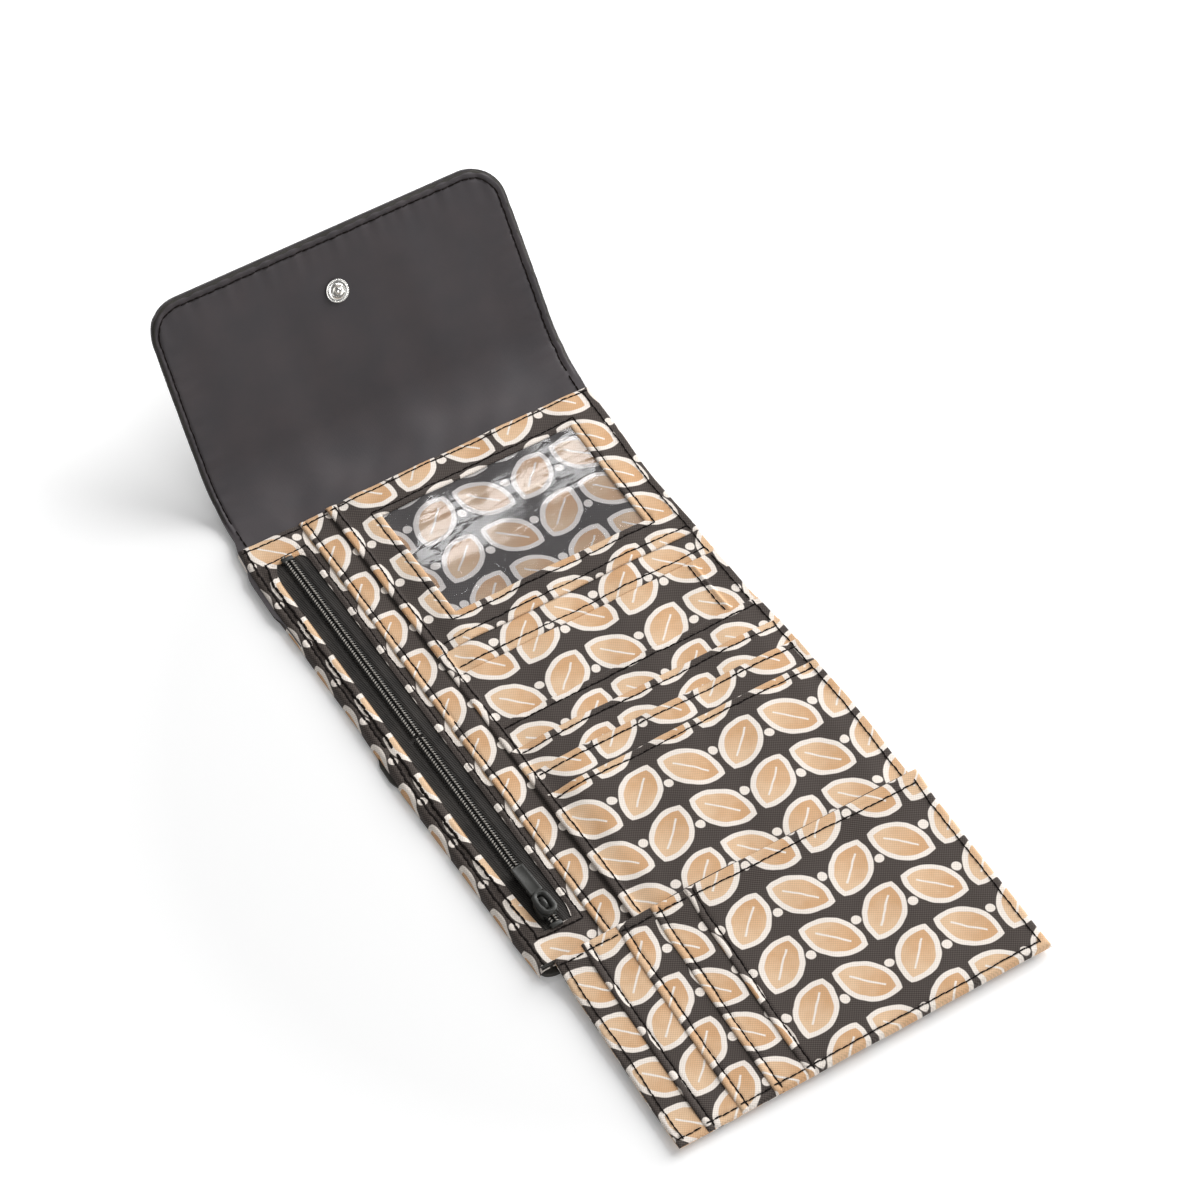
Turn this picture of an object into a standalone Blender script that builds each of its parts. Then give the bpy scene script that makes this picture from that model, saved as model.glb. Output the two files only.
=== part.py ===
# Fold-out wallet: a padded charcoal cover, a printed inside with a long zip pocket,
# an ID window, stepped card slots, a fold-in card leaf and a snap flap.
# Metres, +Z up. The wallet lies open on its cover. +Y runs towards the flap and
# -Y towards the card leaf. The origin is under the middle of the mid spine.

import math

import bmesh
import bpy
from mathutils import Vector

# Overall sizes of the cover and its leaves
WALLET_WIDTH = 0.142
UPPER_LENGTH = 0.0945  # flap seam to the first mid crease
TAIL_LENGTH = 0.0775
FLAP_LENGTH = 0.0775
FLAP_CORNER_RADIUS = 0.014
LEAF_CORNER_RADIUS = 0.0025
FLAP_TILT = math.radians(56)  # how far the flap stands up as it lies open

# Layers
SHELL_THICKNESS = 0.0020
TAIL_BACK_THICKNESS = 0.0008
FABRIC_THICKNESS = 0.0004
VINYL_THICKNESS = 0.00025
LAYER_GAP = 0.00025
CREASE_GAP = 0.0003
FOLD_CLEARANCE = 0.0004
CLOSING_ROOM = 0.0020  # free height between the two halves when closed
FOLDED_END_SETBACK = 0.0015  # the folded half ends this far from the flap spine

# Zip pocket
OPENING_LEFT = 0.0050
OPENING_WIDTH = 0.0140
OPENING_START = 0.0122
OPENING_END_MARGIN = 0.0132
TAPE_LAP = 0.0018
TAPE_END_LAP = 0.004
COIL_WIDTH = 0.0045
COIL_HEIGHT = 0.0013
COIL_EDGE_BEVEL = 0.0004
STOP_LENGTH = 0.0014
STOP_WIDTH = 0.0036
STOP_HEIGHT = 0.0010
STOP_INSET = 0.0006

# Zip slider and pull tab
SLIDER_LENGTH = 0.0100
SLIDER_WALL = 0.0008
SLIDER_NOSE_WIDTH = 0.0048
SLIDER_END_MARGIN = 0.0160  # slider's nose to the tail fold
SLIDER_CORNER = 0.0012
BRIDGE_LENGTH = 0.0052
BRIDGE_WIDTH = 0.0016
BRIDGE_FOOT = 0.0009
BRIDGE_THICKNESS = 0.0005
BRIDGE_ROOM = 0.0017
TAB_LENGTH = 0.0172
TAB_WIDTH = 0.0048
TAB_THICKNESS = 0.0008
TAB_PIN_WIDTH = 0.0010
TAB_CORNER = 0.0012
TAB_CLEARANCE = 0.00035
TAB_HOLE_ROOM = 0.0005
RUN_CLEARANCE = 0.0003

# Slip pockets on the left of the card column
SLIP_EDGE = 0.0238
COLUMN_EDGE = 0.0347

# Upper half: two pockets that open towards the mid fold
POCKET_HEM_SETBACK = 0.0070  # rear pocket's hem to the first mid crease
ID_HEM_SETBACK = 0.0176  # ID pocket's hem to the first mid crease
WINDOW_LEFT_MARGIN = 0.0147  # from the column's edge
WINDOW_RIGHT_MARGIN = 0.0152
WINDOW_SEAM_MARGIN = 0.0136
WINDOW_HEM_MARGIN = 0.0130
WINDOW_CORNER = 0.0012
VINYL_LAP = 0.0030

# Lower half: stepped card slots, the first one next to the mid crease
SLOT_START = 0.0130
SLOT_PITCH = 0.0111
STEPPED_SLOTS = 3

# Tail leaf: lengthwise card slots that open to the left
TAIL_SLOT_START = 0.0125
TAIL_SLOT_PITCH = 0.0127
TAIL_SLOTS = 4

# Snap: stud and cap on the flap, socket in the lower half's cover
SNAP_DISTANCE = 0.0560  # flap crease to the snap's centre
STUD_RADIUS = 0.00445
STUD_FLANGE = 0.0005
STUD_NUB_RADIUS = 0.0019
STUD_NECK_RADIUS = 0.0016
STUD_NUB_HEIGHT = 0.0013
STUD_DISH = 0.0002
CAP_RADIUS = 0.0050
CAP_HEIGHT = 0.0009
CAP_DOME_SHARES = ((1, 0.33), (0.8, 0.8), (0.45, 0.97), (0, 1))  # of radius and height
RIVET_RADIUS = 0.0009
SOCKET_RADIUS = 0.0044
SOCKET_FLOOR = 0.0003
SNAP_CLEARANCE = 0.0003

# Mesh fineness
ARC_STEPS = 6
HOLE_STEPS = 24
TURN_STEPS = 32
MERGE_DISTANCE = 0.00001
CUT_OVERRUN = 0.001

# Places worked out from the sizes above
LAYER_PITCH = FABRIC_THICKNESS + LAYER_GAP
OPENING_RIGHT = OPENING_LEFT + OPENING_WIDTH
ZIP_CENTRE = OPENING_LEFT + OPENING_WIDTH / 2

LINING, TAPE, ZIP_PANEL, SLIP_PANEL, COLUMN, FIRST_POCKET, SECOND_POCKET, THIRD_POCKET = range(8)
STEP_LAYER = FIRST_POCKET + 1
LOWER_LAYERS = STEP_LAYER + STEPPED_SLOTS


def layer_bottom(layer):
    return SHELL_THICKNESS + LAYER_GAP + layer * LAYER_PITCH


def layer_top(layer):
    return layer_bottom(layer) + FABRIC_THICKNESS


def tail_layer_bottom(layer):
    return TAIL_BACK_THICKNESS + LAYER_GAP + layer * LAYER_PITCH


AXIS_HEIGHT = layer_top(LINING)
COIL_BOTTOM = layer_top(TAPE) + LAYER_GAP
COIL_TOP = COIL_BOTTOM + COIL_HEIGHT
SLIDER_BOTTOM = layer_top(TAPE) + RUN_CLEARANCE
SLIDER_PLATE = COIL_TOP + RUN_CLEARANCE
SLIDER_DECK = SLIDER_PLATE + SLIDER_WALL
PULL_AXIS_HEIGHT = SLIDER_DECK + BRIDGE_ROOM / 2
BRIDGE_TOP = SLIDER_DECK + BRIDGE_ROOM + BRIDGE_THICKNESS
SLIDER_WIDTH = COIL_WIDTH + 2 * (RUN_CLEARANCE + SLIDER_WALL)

UPPER_STACK = layer_top(THIRD_POCKET)
LOWER_STACK = layer_top(LOWER_LAYERS - 1)
TAIL_STACK = tail_layer_bottom(TAIL_SLOTS) + FABRIC_THICKNESS
FOLDED_TAIL_BOTTOM = max(LOWER_STACK, BRIDGE_TOP) + FOLD_CLEARANCE
TAIL_AXIS_HEIGHT = (FOLDED_TAIL_BOTTOM + TAIL_STACK) / 2
CLOSED_HEIGHT = FOLDED_TAIL_BOTTOM + TAIL_STACK + CLOSING_ROOM + UPPER_STACK
SPINE_WIDTH = CLOSED_HEIGHT - 2 * AXIS_HEIGHT

STUD_TOP = LAYER_GAP + STUD_FLANGE
FLAP_SPINE_WIDTH = CLOSED_HEIGHT + STUD_TOP + SNAP_CLEARANCE - AXIS_HEIGHT

# Distances along the wallet from the flap seam, towards the tail
NEAR_CREASE = UPPER_LENGTH
FAR_CREASE = NEAR_CREASE + SPINE_WIDTH
LOWER_LENGTH = UPPER_LENGTH - FOLDED_END_SETBACK
TAIL_FOLD = FAR_CREASE + LOWER_LENGTH
TAIL_END = TAIL_FOLD + TAIL_LENGTH
OPENING_END = TAIL_FOLD - OPENING_END_MARGIN
FLAP_CREASE = -FLAP_SPINE_WIDTH
FLAP_END = FLAP_CREASE - FLAP_LENGTH
MIDDLE = NEAR_CREASE + SPINE_WIDTH / 2
SLIDER_CENTRE = TAIL_FOLD - SLIDER_END_MARGIN - SLIDER_LENGTH / 2
SOCKET_PLACE = FAR_CREASE + NEAR_CREASE - SNAP_DISTANCE

MATERIALS = {
    "quilted_cover": ("#3B3737", 0.85, 0.0),
    "flap_lining": ("#4A4746", 0.55, 0.0),
    "printed_twill": ("#A98B70", 0.85, 0.0),
    "zip_tape": ("#262626", 0.90, 0.0),
    "nylon_coil": ("#1F1F1F", 0.45, 0.0),
    "painted_zip_metal": ("#454543", 0.40, 1.0),
    "nickel_snap": ("#D8D8D6", 0.18, 1.0),
    "clear_vinyl": ("#E6E6E4", 0.12, 0.0),
}


def linear(channel):
    return channel / 12.92 if channel <= 0.04045 else ((channel + 0.055) / 1.055) ** 2.4


def make_material(name, colour, roughness, metallic):
    material = bpy.data.materials.new(name)
    material.use_nodes = True
    shader = material.node_tree.nodes["Principled BSDF"]
    channels = [int(colour[i : i + 2], 16) / 255 for i in (1, 3, 5)]
    shader.inputs["Base Color"].default_value = (*[linear(c) for c in channels], 1)
    shader.inputs["Roughness"].default_value = roughness
    shader.inputs["Metallic"].default_value = metallic
    return material


def clear_scene():
    for obj in list(bpy.data.objects):
        bpy.data.objects.remove(obj, do_unlink=True)


def new_collection(name):
    collection = bpy.data.collections.new(name)
    bpy.context.scene.collection.children.link(collection)
    return collection


# Each body is an empty on its joint's axis. The wallet is laid out flat, where a point
# is given by its distance from the left edge, its distance from the flap seam and its
# height. The flap's empty then turns to the angle at which the flap stands.
class Body:
    def __init__(self, name, parent, along, height, across=WALLET_WIDTH / 2):
        self.flat = flat_point(across, along, height)
        self.empty = bpy.data.objects.new(name, None)
        self.empty.empty_display_size = SPINE_WIDTH
        self.empty.location = self.flat
        if parent:
            self.empty.location = self.flat - parent.flat
            self.empty.parent = parent.empty
        parts.objects.link(self.empty)


def flat_point(across, along, height):
    return Vector((across - WALLET_WIDTH / 2, MIDDLE - along, height))


def place(obj, body, across, along, height, material):
    obj.location = flat_point(across, along, height) - body.flat
    obj.parent = body.empty
    obj.data.materials.append(materials[material])
    if parts not in obj.users_collection:
        parts.objects.link(obj)
    return obj


def arc(centre, radius, start, end, steps):
    turns = [start + (end - start) * i / steps for i in range(steps + 1)]
    return [(centre[0] + radius * math.cos(t), centre[1] + radius * math.sin(t)) for t in turns]


def rounded_rectangle(left, right, near, far, near_radius=0.0, far_radius=0.0):
    corners = (
        (left, near, near_radius, 1, 1, math.pi),
        (right, near, near_radius, -1, 1, 1.5 * math.pi),
        (right, far, far_radius, -1, -1, 0.0),
        (left, far, far_radius, 1, -1, 0.5 * math.pi),
    )
    points = []
    for x, y, radius, inward_x, inward_y, start in corners:
        if radius > 0:
            centre = (x + inward_x * radius, y + inward_y * radius)
            points += arc(centre, radius, start, start + math.pi / 2, ARC_STEPS)
        else:
            points.append((x, y))
    return points


def outline_curve(name, outlines, thickness):
    curve = bpy.data.curves.new(name, "CURVE")
    curve.dimensions = "2D"
    curve.fill_mode = "BOTH"
    curve.extrude = thickness / 2
    for points in outlines:
        spline = curve.splines.new("POLY")
        spline.points.add(len(points) - 1)
        for point, (x, y) in zip(spline.points, points):
            point.co = (x, y, 0, 1)
        spline.use_cyclic_u = True
    return bpy.data.objects.new(name, curve)


def as_mesh(obj):
    parts.objects.link(obj)
    bpy.context.view_layer.update()
    evaluated = obj.evaluated_get(bpy.context.evaluated_depsgraph_get())
    mesh = bpy.data.meshes.new_from_object(evaluated)
    welded = bmesh.new()
    welded.from_mesh(mesh)
    bmesh.ops.remove_doubles(welded, verts=welded.verts, dist=MERGE_DISTANCE)
    bmesh.ops.recalc_face_normals(welded, faces=welded.faces)
    welded.to_mesh(mesh)
    welded.free()
    name = obj.name
    matrix = obj.matrix_world.copy()
    bpy.data.objects.remove(obj, do_unlink=True)
    solid = bpy.data.objects.new(name, mesh)
    solid.matrix_world = matrix
    return solid


# A sheet of fabric, laid out flat. Its outlines hold (across, along) points.
def sheet(name, body, material, outlines, bottom, thickness=FABRIC_THICKNESS):
    shapes = []
    for points in outlines:
        shapes.append([(across - WALLET_WIDTH / 2, -along) for across, along in points])
    obj = outline_curve(name, shapes, thickness)
    return place(obj, body, WALLET_WIDTH / 2, 0, bottom + thickness / 2, material)


def strip(name, body, material, left, right, near, far, bottom, thickness=FABRIC_THICKNESS):
    points = rounded_rectangle(left, right, near, far)
    return sheet(name, body, material, [points], bottom, thickness)


def circle(centre, radius):
    return arc(centre, radius, 0, 2 * math.pi, HOLE_STEPS)[:-1]


def block(name, width, length, height, bevel=0.0):
    mesh = bpy.data.meshes.new(name)
    cube = bmesh.new()
    bmesh.ops.create_cube(cube, size=1.0)
    bmesh.ops.scale(cube, vec=(width, length, height), verts=cube.verts)
    cube.to_mesh(mesh)
    cube.free()
    obj = bpy.data.objects.new(name, mesh)
    if bevel:
        modifier = obj.modifiers.new("rounded edges", "BEVEL")
        modifier.width = bevel
        modifier.segments = 1
    return obj


# A turned piece. Its profile holds (radius, height) points, down the outer side.
def turned(name, profile):
    mesh = bpy.data.meshes.new(name)
    line = bmesh.new()
    verts = [line.verts.new((radius, 0, height)) for radius, height in profile]
    for first, second in zip(verts, verts[1:]):
        line.edges.new((first, second))
    line.to_mesh(mesh)
    line.free()
    obj = bpy.data.objects.new(name, mesh)
    screw = obj.modifiers.new("turned", "SCREW")
    screw.steps = TURN_STEPS
    screw.render_steps = TURN_STEPS
    screw.use_merge_vertices = True
    screw.merge_threshold = MERGE_DISTANCE
    return obj


def add_boolean(obj, operation, tool):
    tool.display_type = "WIRE"
    tool.hide_render = True
    cutters.objects.link(tool)
    boolean = obj.modifiers.new(operation.lower(), "BOOLEAN")
    boolean.operation = operation
    boolean.object = tool


# A layer that stands above the crease axes stops short of each crease, so that the
# halves fold square without their layers meeting.
def crease_setback(top):
    return top - AXIS_HEIGHT + CREASE_GAP


def segments(top):
    back = crease_setback(top)
    return (
        ("upper", upper, CREASE_GAP, NEAR_CREASE - back),
        ("spine", spine, NEAR_CREASE + back, FAR_CREASE - back),
        ("lower", lower, FAR_CREASE + back, TAIL_FOLD - CREASE_GAP / 2),
    )


def make_cover():
    half_gap = CREASE_GAP / 2
    spans = (
        ("upper", upper, half_gap, NEAR_CREASE - half_gap),
        ("spine", spine, NEAR_CREASE + half_gap, FAR_CREASE - half_gap),
        ("lower", lower, FAR_CREASE + half_gap, TAIL_FOLD - half_gap),
        ("flap_spine", flap_spine, FLAP_CREASE + half_gap, -half_gap),
    )
    socket_hole = circle((WALLET_WIDTH / 2, SOCKET_PLACE), SOCKET_RADIUS + SNAP_CLEARANCE)
    for part, body, near, far in spans:
        outlines = [rounded_rectangle(0, WALLET_WIDTH, near, far)]
        if part == "lower":
            outlines.append(socket_hole)
        sheet(f"cover_{part}", body, "quilted_cover", outlines, 0, SHELL_THICKNESS)
        lining = "flap_lining" if part == "flap_spine" else "printed_twill"
        strip(f"lining_{part}", body, lining, 0, WALLET_WIDTH, near, far, layer_bottom(LINING))


def make_flap():
    near, far = FLAP_END, FLAP_CREASE - CREASE_GAP / 2
    outline = rounded_rectangle(0, WALLET_WIDTH, near, far, near_radius=FLAP_CORNER_RADIUS)
    centre = (WALLET_WIDTH / 2, FLAP_CREASE - SNAP_DISTANCE)
    outlines = [outline, circle(centre, RIVET_RADIUS + SNAP_CLEARANCE)]
    sheet("cover_flap", flap, "quilted_cover", outlines, 0, SHELL_THICKNESS)
    sheet("lining_flap", flap, "flap_lining", outlines, layer_bottom(LINING))


def make_snap():
    nub_top = STUD_TOP + STUD_NUB_HEIGHT
    stud = turned(
        "snap_stud",
        (
            (0, nub_top),
            (STUD_NUB_RADIUS, nub_top - STUD_DISH),
            (STUD_NUB_RADIUS, nub_top - STUD_NUB_HEIGHT / 2),
            (STUD_NECK_RADIUS, STUD_TOP - STUD_DISH),
            (STUD_RADIUS - STUD_FLANGE, STUD_TOP),
            (STUD_RADIUS, STUD_TOP - STUD_FLANGE / 2),
            (STUD_RADIUS, LAYER_GAP),
            (0, LAYER_GAP),
        ),
    )
    place(stud, flap, WALLET_WIDTH / 2, FLAP_CREASE - SNAP_DISTANCE, AXIS_HEIGHT, "nickel_snap")
    cap_top = -LAYER_GAP
    rivet_top = AXIS_HEIGHT + LAYER_GAP - SNAP_CLEARANCE
    rivet = ((0, rivet_top), (RIVET_RADIUS, rivet_top), (RIVET_RADIUS, cap_top), (CAP_RADIUS, cap_top))
    dome = [(CAP_RADIUS * out, cap_top - CAP_HEIGHT * down) for out, down in CAP_DOME_SHARES]
    cap = turned("snap_cap", (*rivet, *dome))
    place(cap, flap, WALLET_WIDTH / 2, FLAP_CREASE - SNAP_DISTANCE, 0, "nickel_snap")
    mouth = STUD_NUB_RADIUS + SNAP_CLEARANCE
    socket_top = SHELL_THICKNESS - SOCKET_FLOOR
    socket = turned(
        "snap_socket",
        (
            (0, socket_top),
            (SOCKET_RADIUS - SOCKET_FLOOR, socket_top),
            (SOCKET_RADIUS, socket_top - SOCKET_FLOOR),
            (SOCKET_RADIUS, SOCKET_FLOOR),
            (SOCKET_RADIUS - SOCKET_FLOOR, 0),
            (mouth + SOCKET_FLOOR, 0),
            (mouth, SOCKET_FLOOR),
            (mouth, socket_top - SOCKET_FLOOR),
            (0, socket_top - SOCKET_FLOOR),
        ),
    )
    place(socket, lower, WALLET_WIDTH / 2, SOCKET_PLACE, 0, "nickel_snap")


def make_zip():
    left = OPENING_LEFT - TAPE_LAP
    right = OPENING_RIGHT + TAPE_LAP
    start = OPENING_START - TAPE_END_LAP
    end = OPENING_END + TAPE_END_LAP
    for part, body, near, far in segments(layer_top(TAPE)):
        near, far = max(near, start), min(far, end)
        edges = (("left", left, ZIP_CENTRE - CREASE_GAP / 2), ("right", ZIP_CENTRE + CREASE_GAP / 2, right))
        for side, inner, outer in edges:
            strip(f"zip_tape_{side}_{part}", body, "zip_tape", inner, outer, near, far, layer_bottom(TAPE))
    coil_margin = STOP_LENGTH + 2 * STOP_INSET
    for part, body, near, far in segments(COIL_TOP):
        near = max(near, OPENING_START + coil_margin)
        far = min(far, OPENING_END - coil_margin)
        coil = block(f"zip_coil_{part}", COIL_WIDTH, far - near, COIL_HEIGHT, COIL_EDGE_BEVEL)
        place(coil, body, ZIP_CENTRE, (near + far) / 2, (COIL_BOTTOM + COIL_TOP) / 2, "nylon_coil")
    ends = (("top", upper, OPENING_START, 1), ("bottom", lower, OPENING_END, -1))
    for end_name, body, edge, inward in ends:
        stop = block(f"zip_stop_{end_name}", STOP_WIDTH, STOP_LENGTH, STOP_HEIGHT, COIL_EDGE_BEVEL / 2)
        along = edge + inward * (STOP_INSET + STOP_LENGTH / 2)
        place(stop, body, ZIP_CENTRE, along, COIL_BOTTOM + STOP_HEIGHT / 2, "painted_zip_metal")


def make_zip_panels():
    bottom = layer_bottom(ZIP_PANEL)
    (_, _, near, far), _, (_, _, lower_near, lower_far) = segments(layer_top(ZIP_PANEL))
    upper_outline = (
        (0, near),
        (WALLET_WIDTH, near),
        (WALLET_WIDTH, far),
        (OPENING_RIGHT, far),
        (OPENING_RIGHT, OPENING_START),
        (OPENING_LEFT, OPENING_START),
        (OPENING_LEFT, far),
        (0, far),
    )
    sheet("zip_panel_upper", upper, "printed_twill", [upper_outline], bottom)
    lower_outline = (
        (0, lower_far),
        (WALLET_WIDTH, lower_far),
        (WALLET_WIDTH, lower_near),
        (OPENING_RIGHT, lower_near),
        (OPENING_RIGHT, OPENING_END),
        (OPENING_LEFT, OPENING_END),
        (OPENING_LEFT, lower_near),
        (0, lower_near),
    )
    sheet("zip_panel_lower", lower, "printed_twill", [lower_outline], bottom)
    _, (_, _, near, far), _ = segments(layer_top(ZIP_PANEL))
    strip("zip_border_spine", spine, "printed_twill", 0, OPENING_LEFT, near, far, bottom)
    strip("zip_panel_spine", spine, "printed_twill", OPENING_RIGHT, WALLET_WIDTH, near, far, bottom)


def make_slider():
    half_width, half_length = SLIDER_WIDTH / 2, SLIDER_LENGTH / 2
    half_nose = SLIDER_NOSE_WIDTH / 2
    shield = (
        (-half_width + SLIDER_CORNER, half_length),
        (-half_width, half_length - SLIDER_CORNER),
        (-half_width, 0),
        (-half_nose, -half_length + SLIDER_CORNER),
        (-half_nose + SLIDER_CORNER, -half_length),
        (half_nose - SLIDER_CORNER, -half_length),
        (half_nose, -half_length + SLIDER_CORNER),
        (half_width, 0),
        (half_width, half_length - SLIDER_CORNER),
        (half_width - SLIDER_CORNER, half_length),
    )
    body_height = SLIDER_DECK - SLIDER_BOTTOM
    body = as_mesh(outline_curve("slider", [shield], body_height))
    channel_width = COIL_WIDTH + 2 * RUN_CLEARANCE
    channel_height = SLIDER_PLATE - SLIDER_BOTTOM + CUT_OVERRUN
    channel = block("slider channel", channel_width, SLIDER_LENGTH + 2 * CUT_OVERRUN, channel_height)
    channel.location.z = SLIDER_PLATE - (SLIDER_BOTTOM + SLIDER_DECK) / 2 - channel_height / 2
    add_boolean(body, "DIFFERENCE", channel)
    foot = SLIDER_WALL / 2
    half_bridge, bridge_top = BRIDGE_LENGTH / 2, BRIDGE_ROOM + BRIDGE_THICKNESS
    inner_foot = half_bridge - BRIDGE_FOOT
    chamfer = BRIDGE_THICKNESS / 2
    arch = (
        (-half_bridge, -foot),
        (-half_bridge, bridge_top - chamfer),
        (-half_bridge + chamfer, bridge_top),
        (half_bridge - chamfer, bridge_top),
        (half_bridge, bridge_top - chamfer),
        (half_bridge, -foot),
        (inner_foot, -foot),
        (inner_foot, BRIDGE_ROOM),
        (-inner_foot, BRIDGE_ROOM),
        (-inner_foot, -foot),
    )
    bridge = as_mesh(outline_curve("slider bridge", [arch], BRIDGE_WIDTH))
    bridge.rotation_euler = (math.pi / 2, 0, math.pi / 2)
    bridge.location.z = body_height / 2
    add_boolean(body, "UNION", bridge)
    centre_height = (SLIDER_BOTTOM + SLIDER_DECK) / 2
    place(body, slider, ZIP_CENTRE, SLIDER_CENTRE, centre_height, "painted_zip_metal")
    for tool in (channel, bridge):
        tool.parent = body


def make_pull_tab():
    half_pin = TAB_PIN_WIDTH / 2
    outline = rounded_rectangle(-TAB_WIDTH / 2, TAB_WIDTH / 2, -half_pin, TAB_LENGTH, half_pin / 2, TAB_CORNER)
    hole_half = BRIDGE_WIDTH / 2 + TAB_CLEARANCE
    hole = rounded_rectangle(-hole_half, hole_half, half_pin, BRIDGE_LENGTH / 2 + TAB_HOLE_ROOM)
    tab = outline_curve("pull_tab", [outline, hole], TAB_THICKNESS)
    place(tab, pull, ZIP_CENTRE, SLIDER_CENTRE, PULL_AXIS_HEIGHT, "painted_zip_metal")


def make_side_pockets():
    for part, body, near, far in segments(layer_top(SLIP_PANEL)):
        bottom = layer_bottom(SLIP_PANEL)
        strip(f"slip_pocket_{part}", body, "printed_twill", SLIP_EDGE, WALLET_WIDTH, near, far, bottom)
    for part, body, near, far in segments(layer_top(COLUMN)):
        bottom = layer_bottom(COLUMN)
        strip(f"column_{part}", body, "printed_twill", COLUMN_EDGE, WALLET_WIDTH, near, far, bottom)


def make_upper_pockets():
    left, right, near = COLUMN_EDGE, WALLET_WIDTH, CREASE_GAP
    hem = NEAR_CREASE - POCKET_HEM_SETBACK
    strip("rear_pocket", upper, "printed_twill", left, right, near, hem, layer_bottom(FIRST_POCKET))
    id_hem = NEAR_CREASE - ID_HEM_SETBACK
    window_left, window_right = left + WINDOW_LEFT_MARGIN, right - WINDOW_RIGHT_MARGIN
    window_end = id_hem - WINDOW_HEM_MARGIN
    window = rounded_rectangle(
        window_left, window_right, WINDOW_SEAM_MARGIN, window_end, WINDOW_CORNER, WINDOW_CORNER
    )
    frame = rounded_rectangle(left, right, near, id_hem)
    sheet("id_frame", upper, "printed_twill", [frame, window], layer_bottom(THIRD_POCKET))
    strip(
        "id_window",
        upper,
        "clear_vinyl",
        window_left - VINYL_LAP,
        window_right + VINYL_LAP,
        WINDOW_SEAM_MARGIN - VINYL_LAP,
        window_end + VINYL_LAP,
        layer_top(SECOND_POCKET) - VINYL_THICKNESS,
        VINYL_THICKNESS,
    )


def make_card_slots():
    left, right, far = COLUMN_EDGE, WALLET_WIDTH, TAIL_FOLD - CREASE_GAP / 2
    first = FAR_CREASE + crease_setback(layer_top(COLUMN))
    strip("card_slot_1", lower, "printed_twill", left, right, first, far, layer_bottom(FIRST_POCKET))
    for step in range(STEPPED_SLOTS):
        near = FAR_CREASE + SLOT_START + step * SLOT_PITCH
        name = f"card_slot_{step + 2}"
        strip(name, lower, "printed_twill", left, right, near, far, layer_bottom(STEP_LAYER + step))


def make_tail():
    near, far = TAIL_FOLD + CREASE_GAP / 2, TAIL_END
    leaf = rounded_rectangle(0, WALLET_WIDTH, near, far, far_radius=LEAF_CORNER_RADIUS)
    sheet("tail_back", tail, "printed_twill", [leaf], 0, TAIL_BACK_THICKNESS)
    sheet("tail_front", tail, "printed_twill", [leaf], tail_layer_bottom(0))
    for slot in range(TAIL_SLOTS):
        left = TAIL_SLOT_START + slot * TAIL_SLOT_PITCH
        name = f"tail_slot_{slot + 1}"
        bottom = tail_layer_bottom(slot + 1)
        strip(name, tail, "printed_twill", left, WALLET_WIDTH, near, far, bottom)


clear_scene()
parts = new_collection("wallet")
cutters = new_collection("cutters")
materials = {name: make_material(name, *values) for name, values in MATERIALS.items()}

upper = Body("upper_body", None, MIDDLE, 0)
spine = Body("near_crease", upper, NEAR_CREASE, AXIS_HEIGHT)
lower = Body("far_crease", spine, FAR_CREASE, AXIS_HEIGHT)
tail = Body("tail_fold", lower, TAIL_FOLD, TAIL_AXIS_HEIGHT)
slider = Body("slider_run", lower, SLIDER_CENTRE, SLIDER_BOTTOM, ZIP_CENTRE)
pull = Body("pull_axis", slider, SLIDER_CENTRE, PULL_AXIS_HEIGHT, ZIP_CENTRE)
flap_spine = Body("flap_seam", upper, 0, AXIS_HEIGHT)
flap = Body("flap_crease", flap_spine, FLAP_CREASE, AXIS_HEIGHT)

make_cover()
make_flap()
make_snap()
make_zip()
make_zip_panels()
make_slider()
make_pull_tab()
make_side_pockets()
make_upper_pockets()
make_card_slots()
make_tail()
flap.empty.rotation_euler.x = FLAP_TILT

print(f"closed height {CLOSED_HEIGHT * 1000:.2f} mm, spine {SPINE_WIDTH * 1000:.2f} mm")
print(f"flap spine {FLAP_SPINE_WIDTH * 1000:.2f} mm, tail fold at {TAIL_FOLD * 1000:.2f} mm")
for body in (upper, spine, lower, tail, slider, pull, flap_spine, flap):
    x, y, z = body.flat * 1000
    print(f"{body.empty.name}: {x:.3f}, {y:.3f}, {z:.3f} mm")
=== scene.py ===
import bpy
import bmesh
import math
import numpy as np
from mathutils import Matrix, Vector


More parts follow.
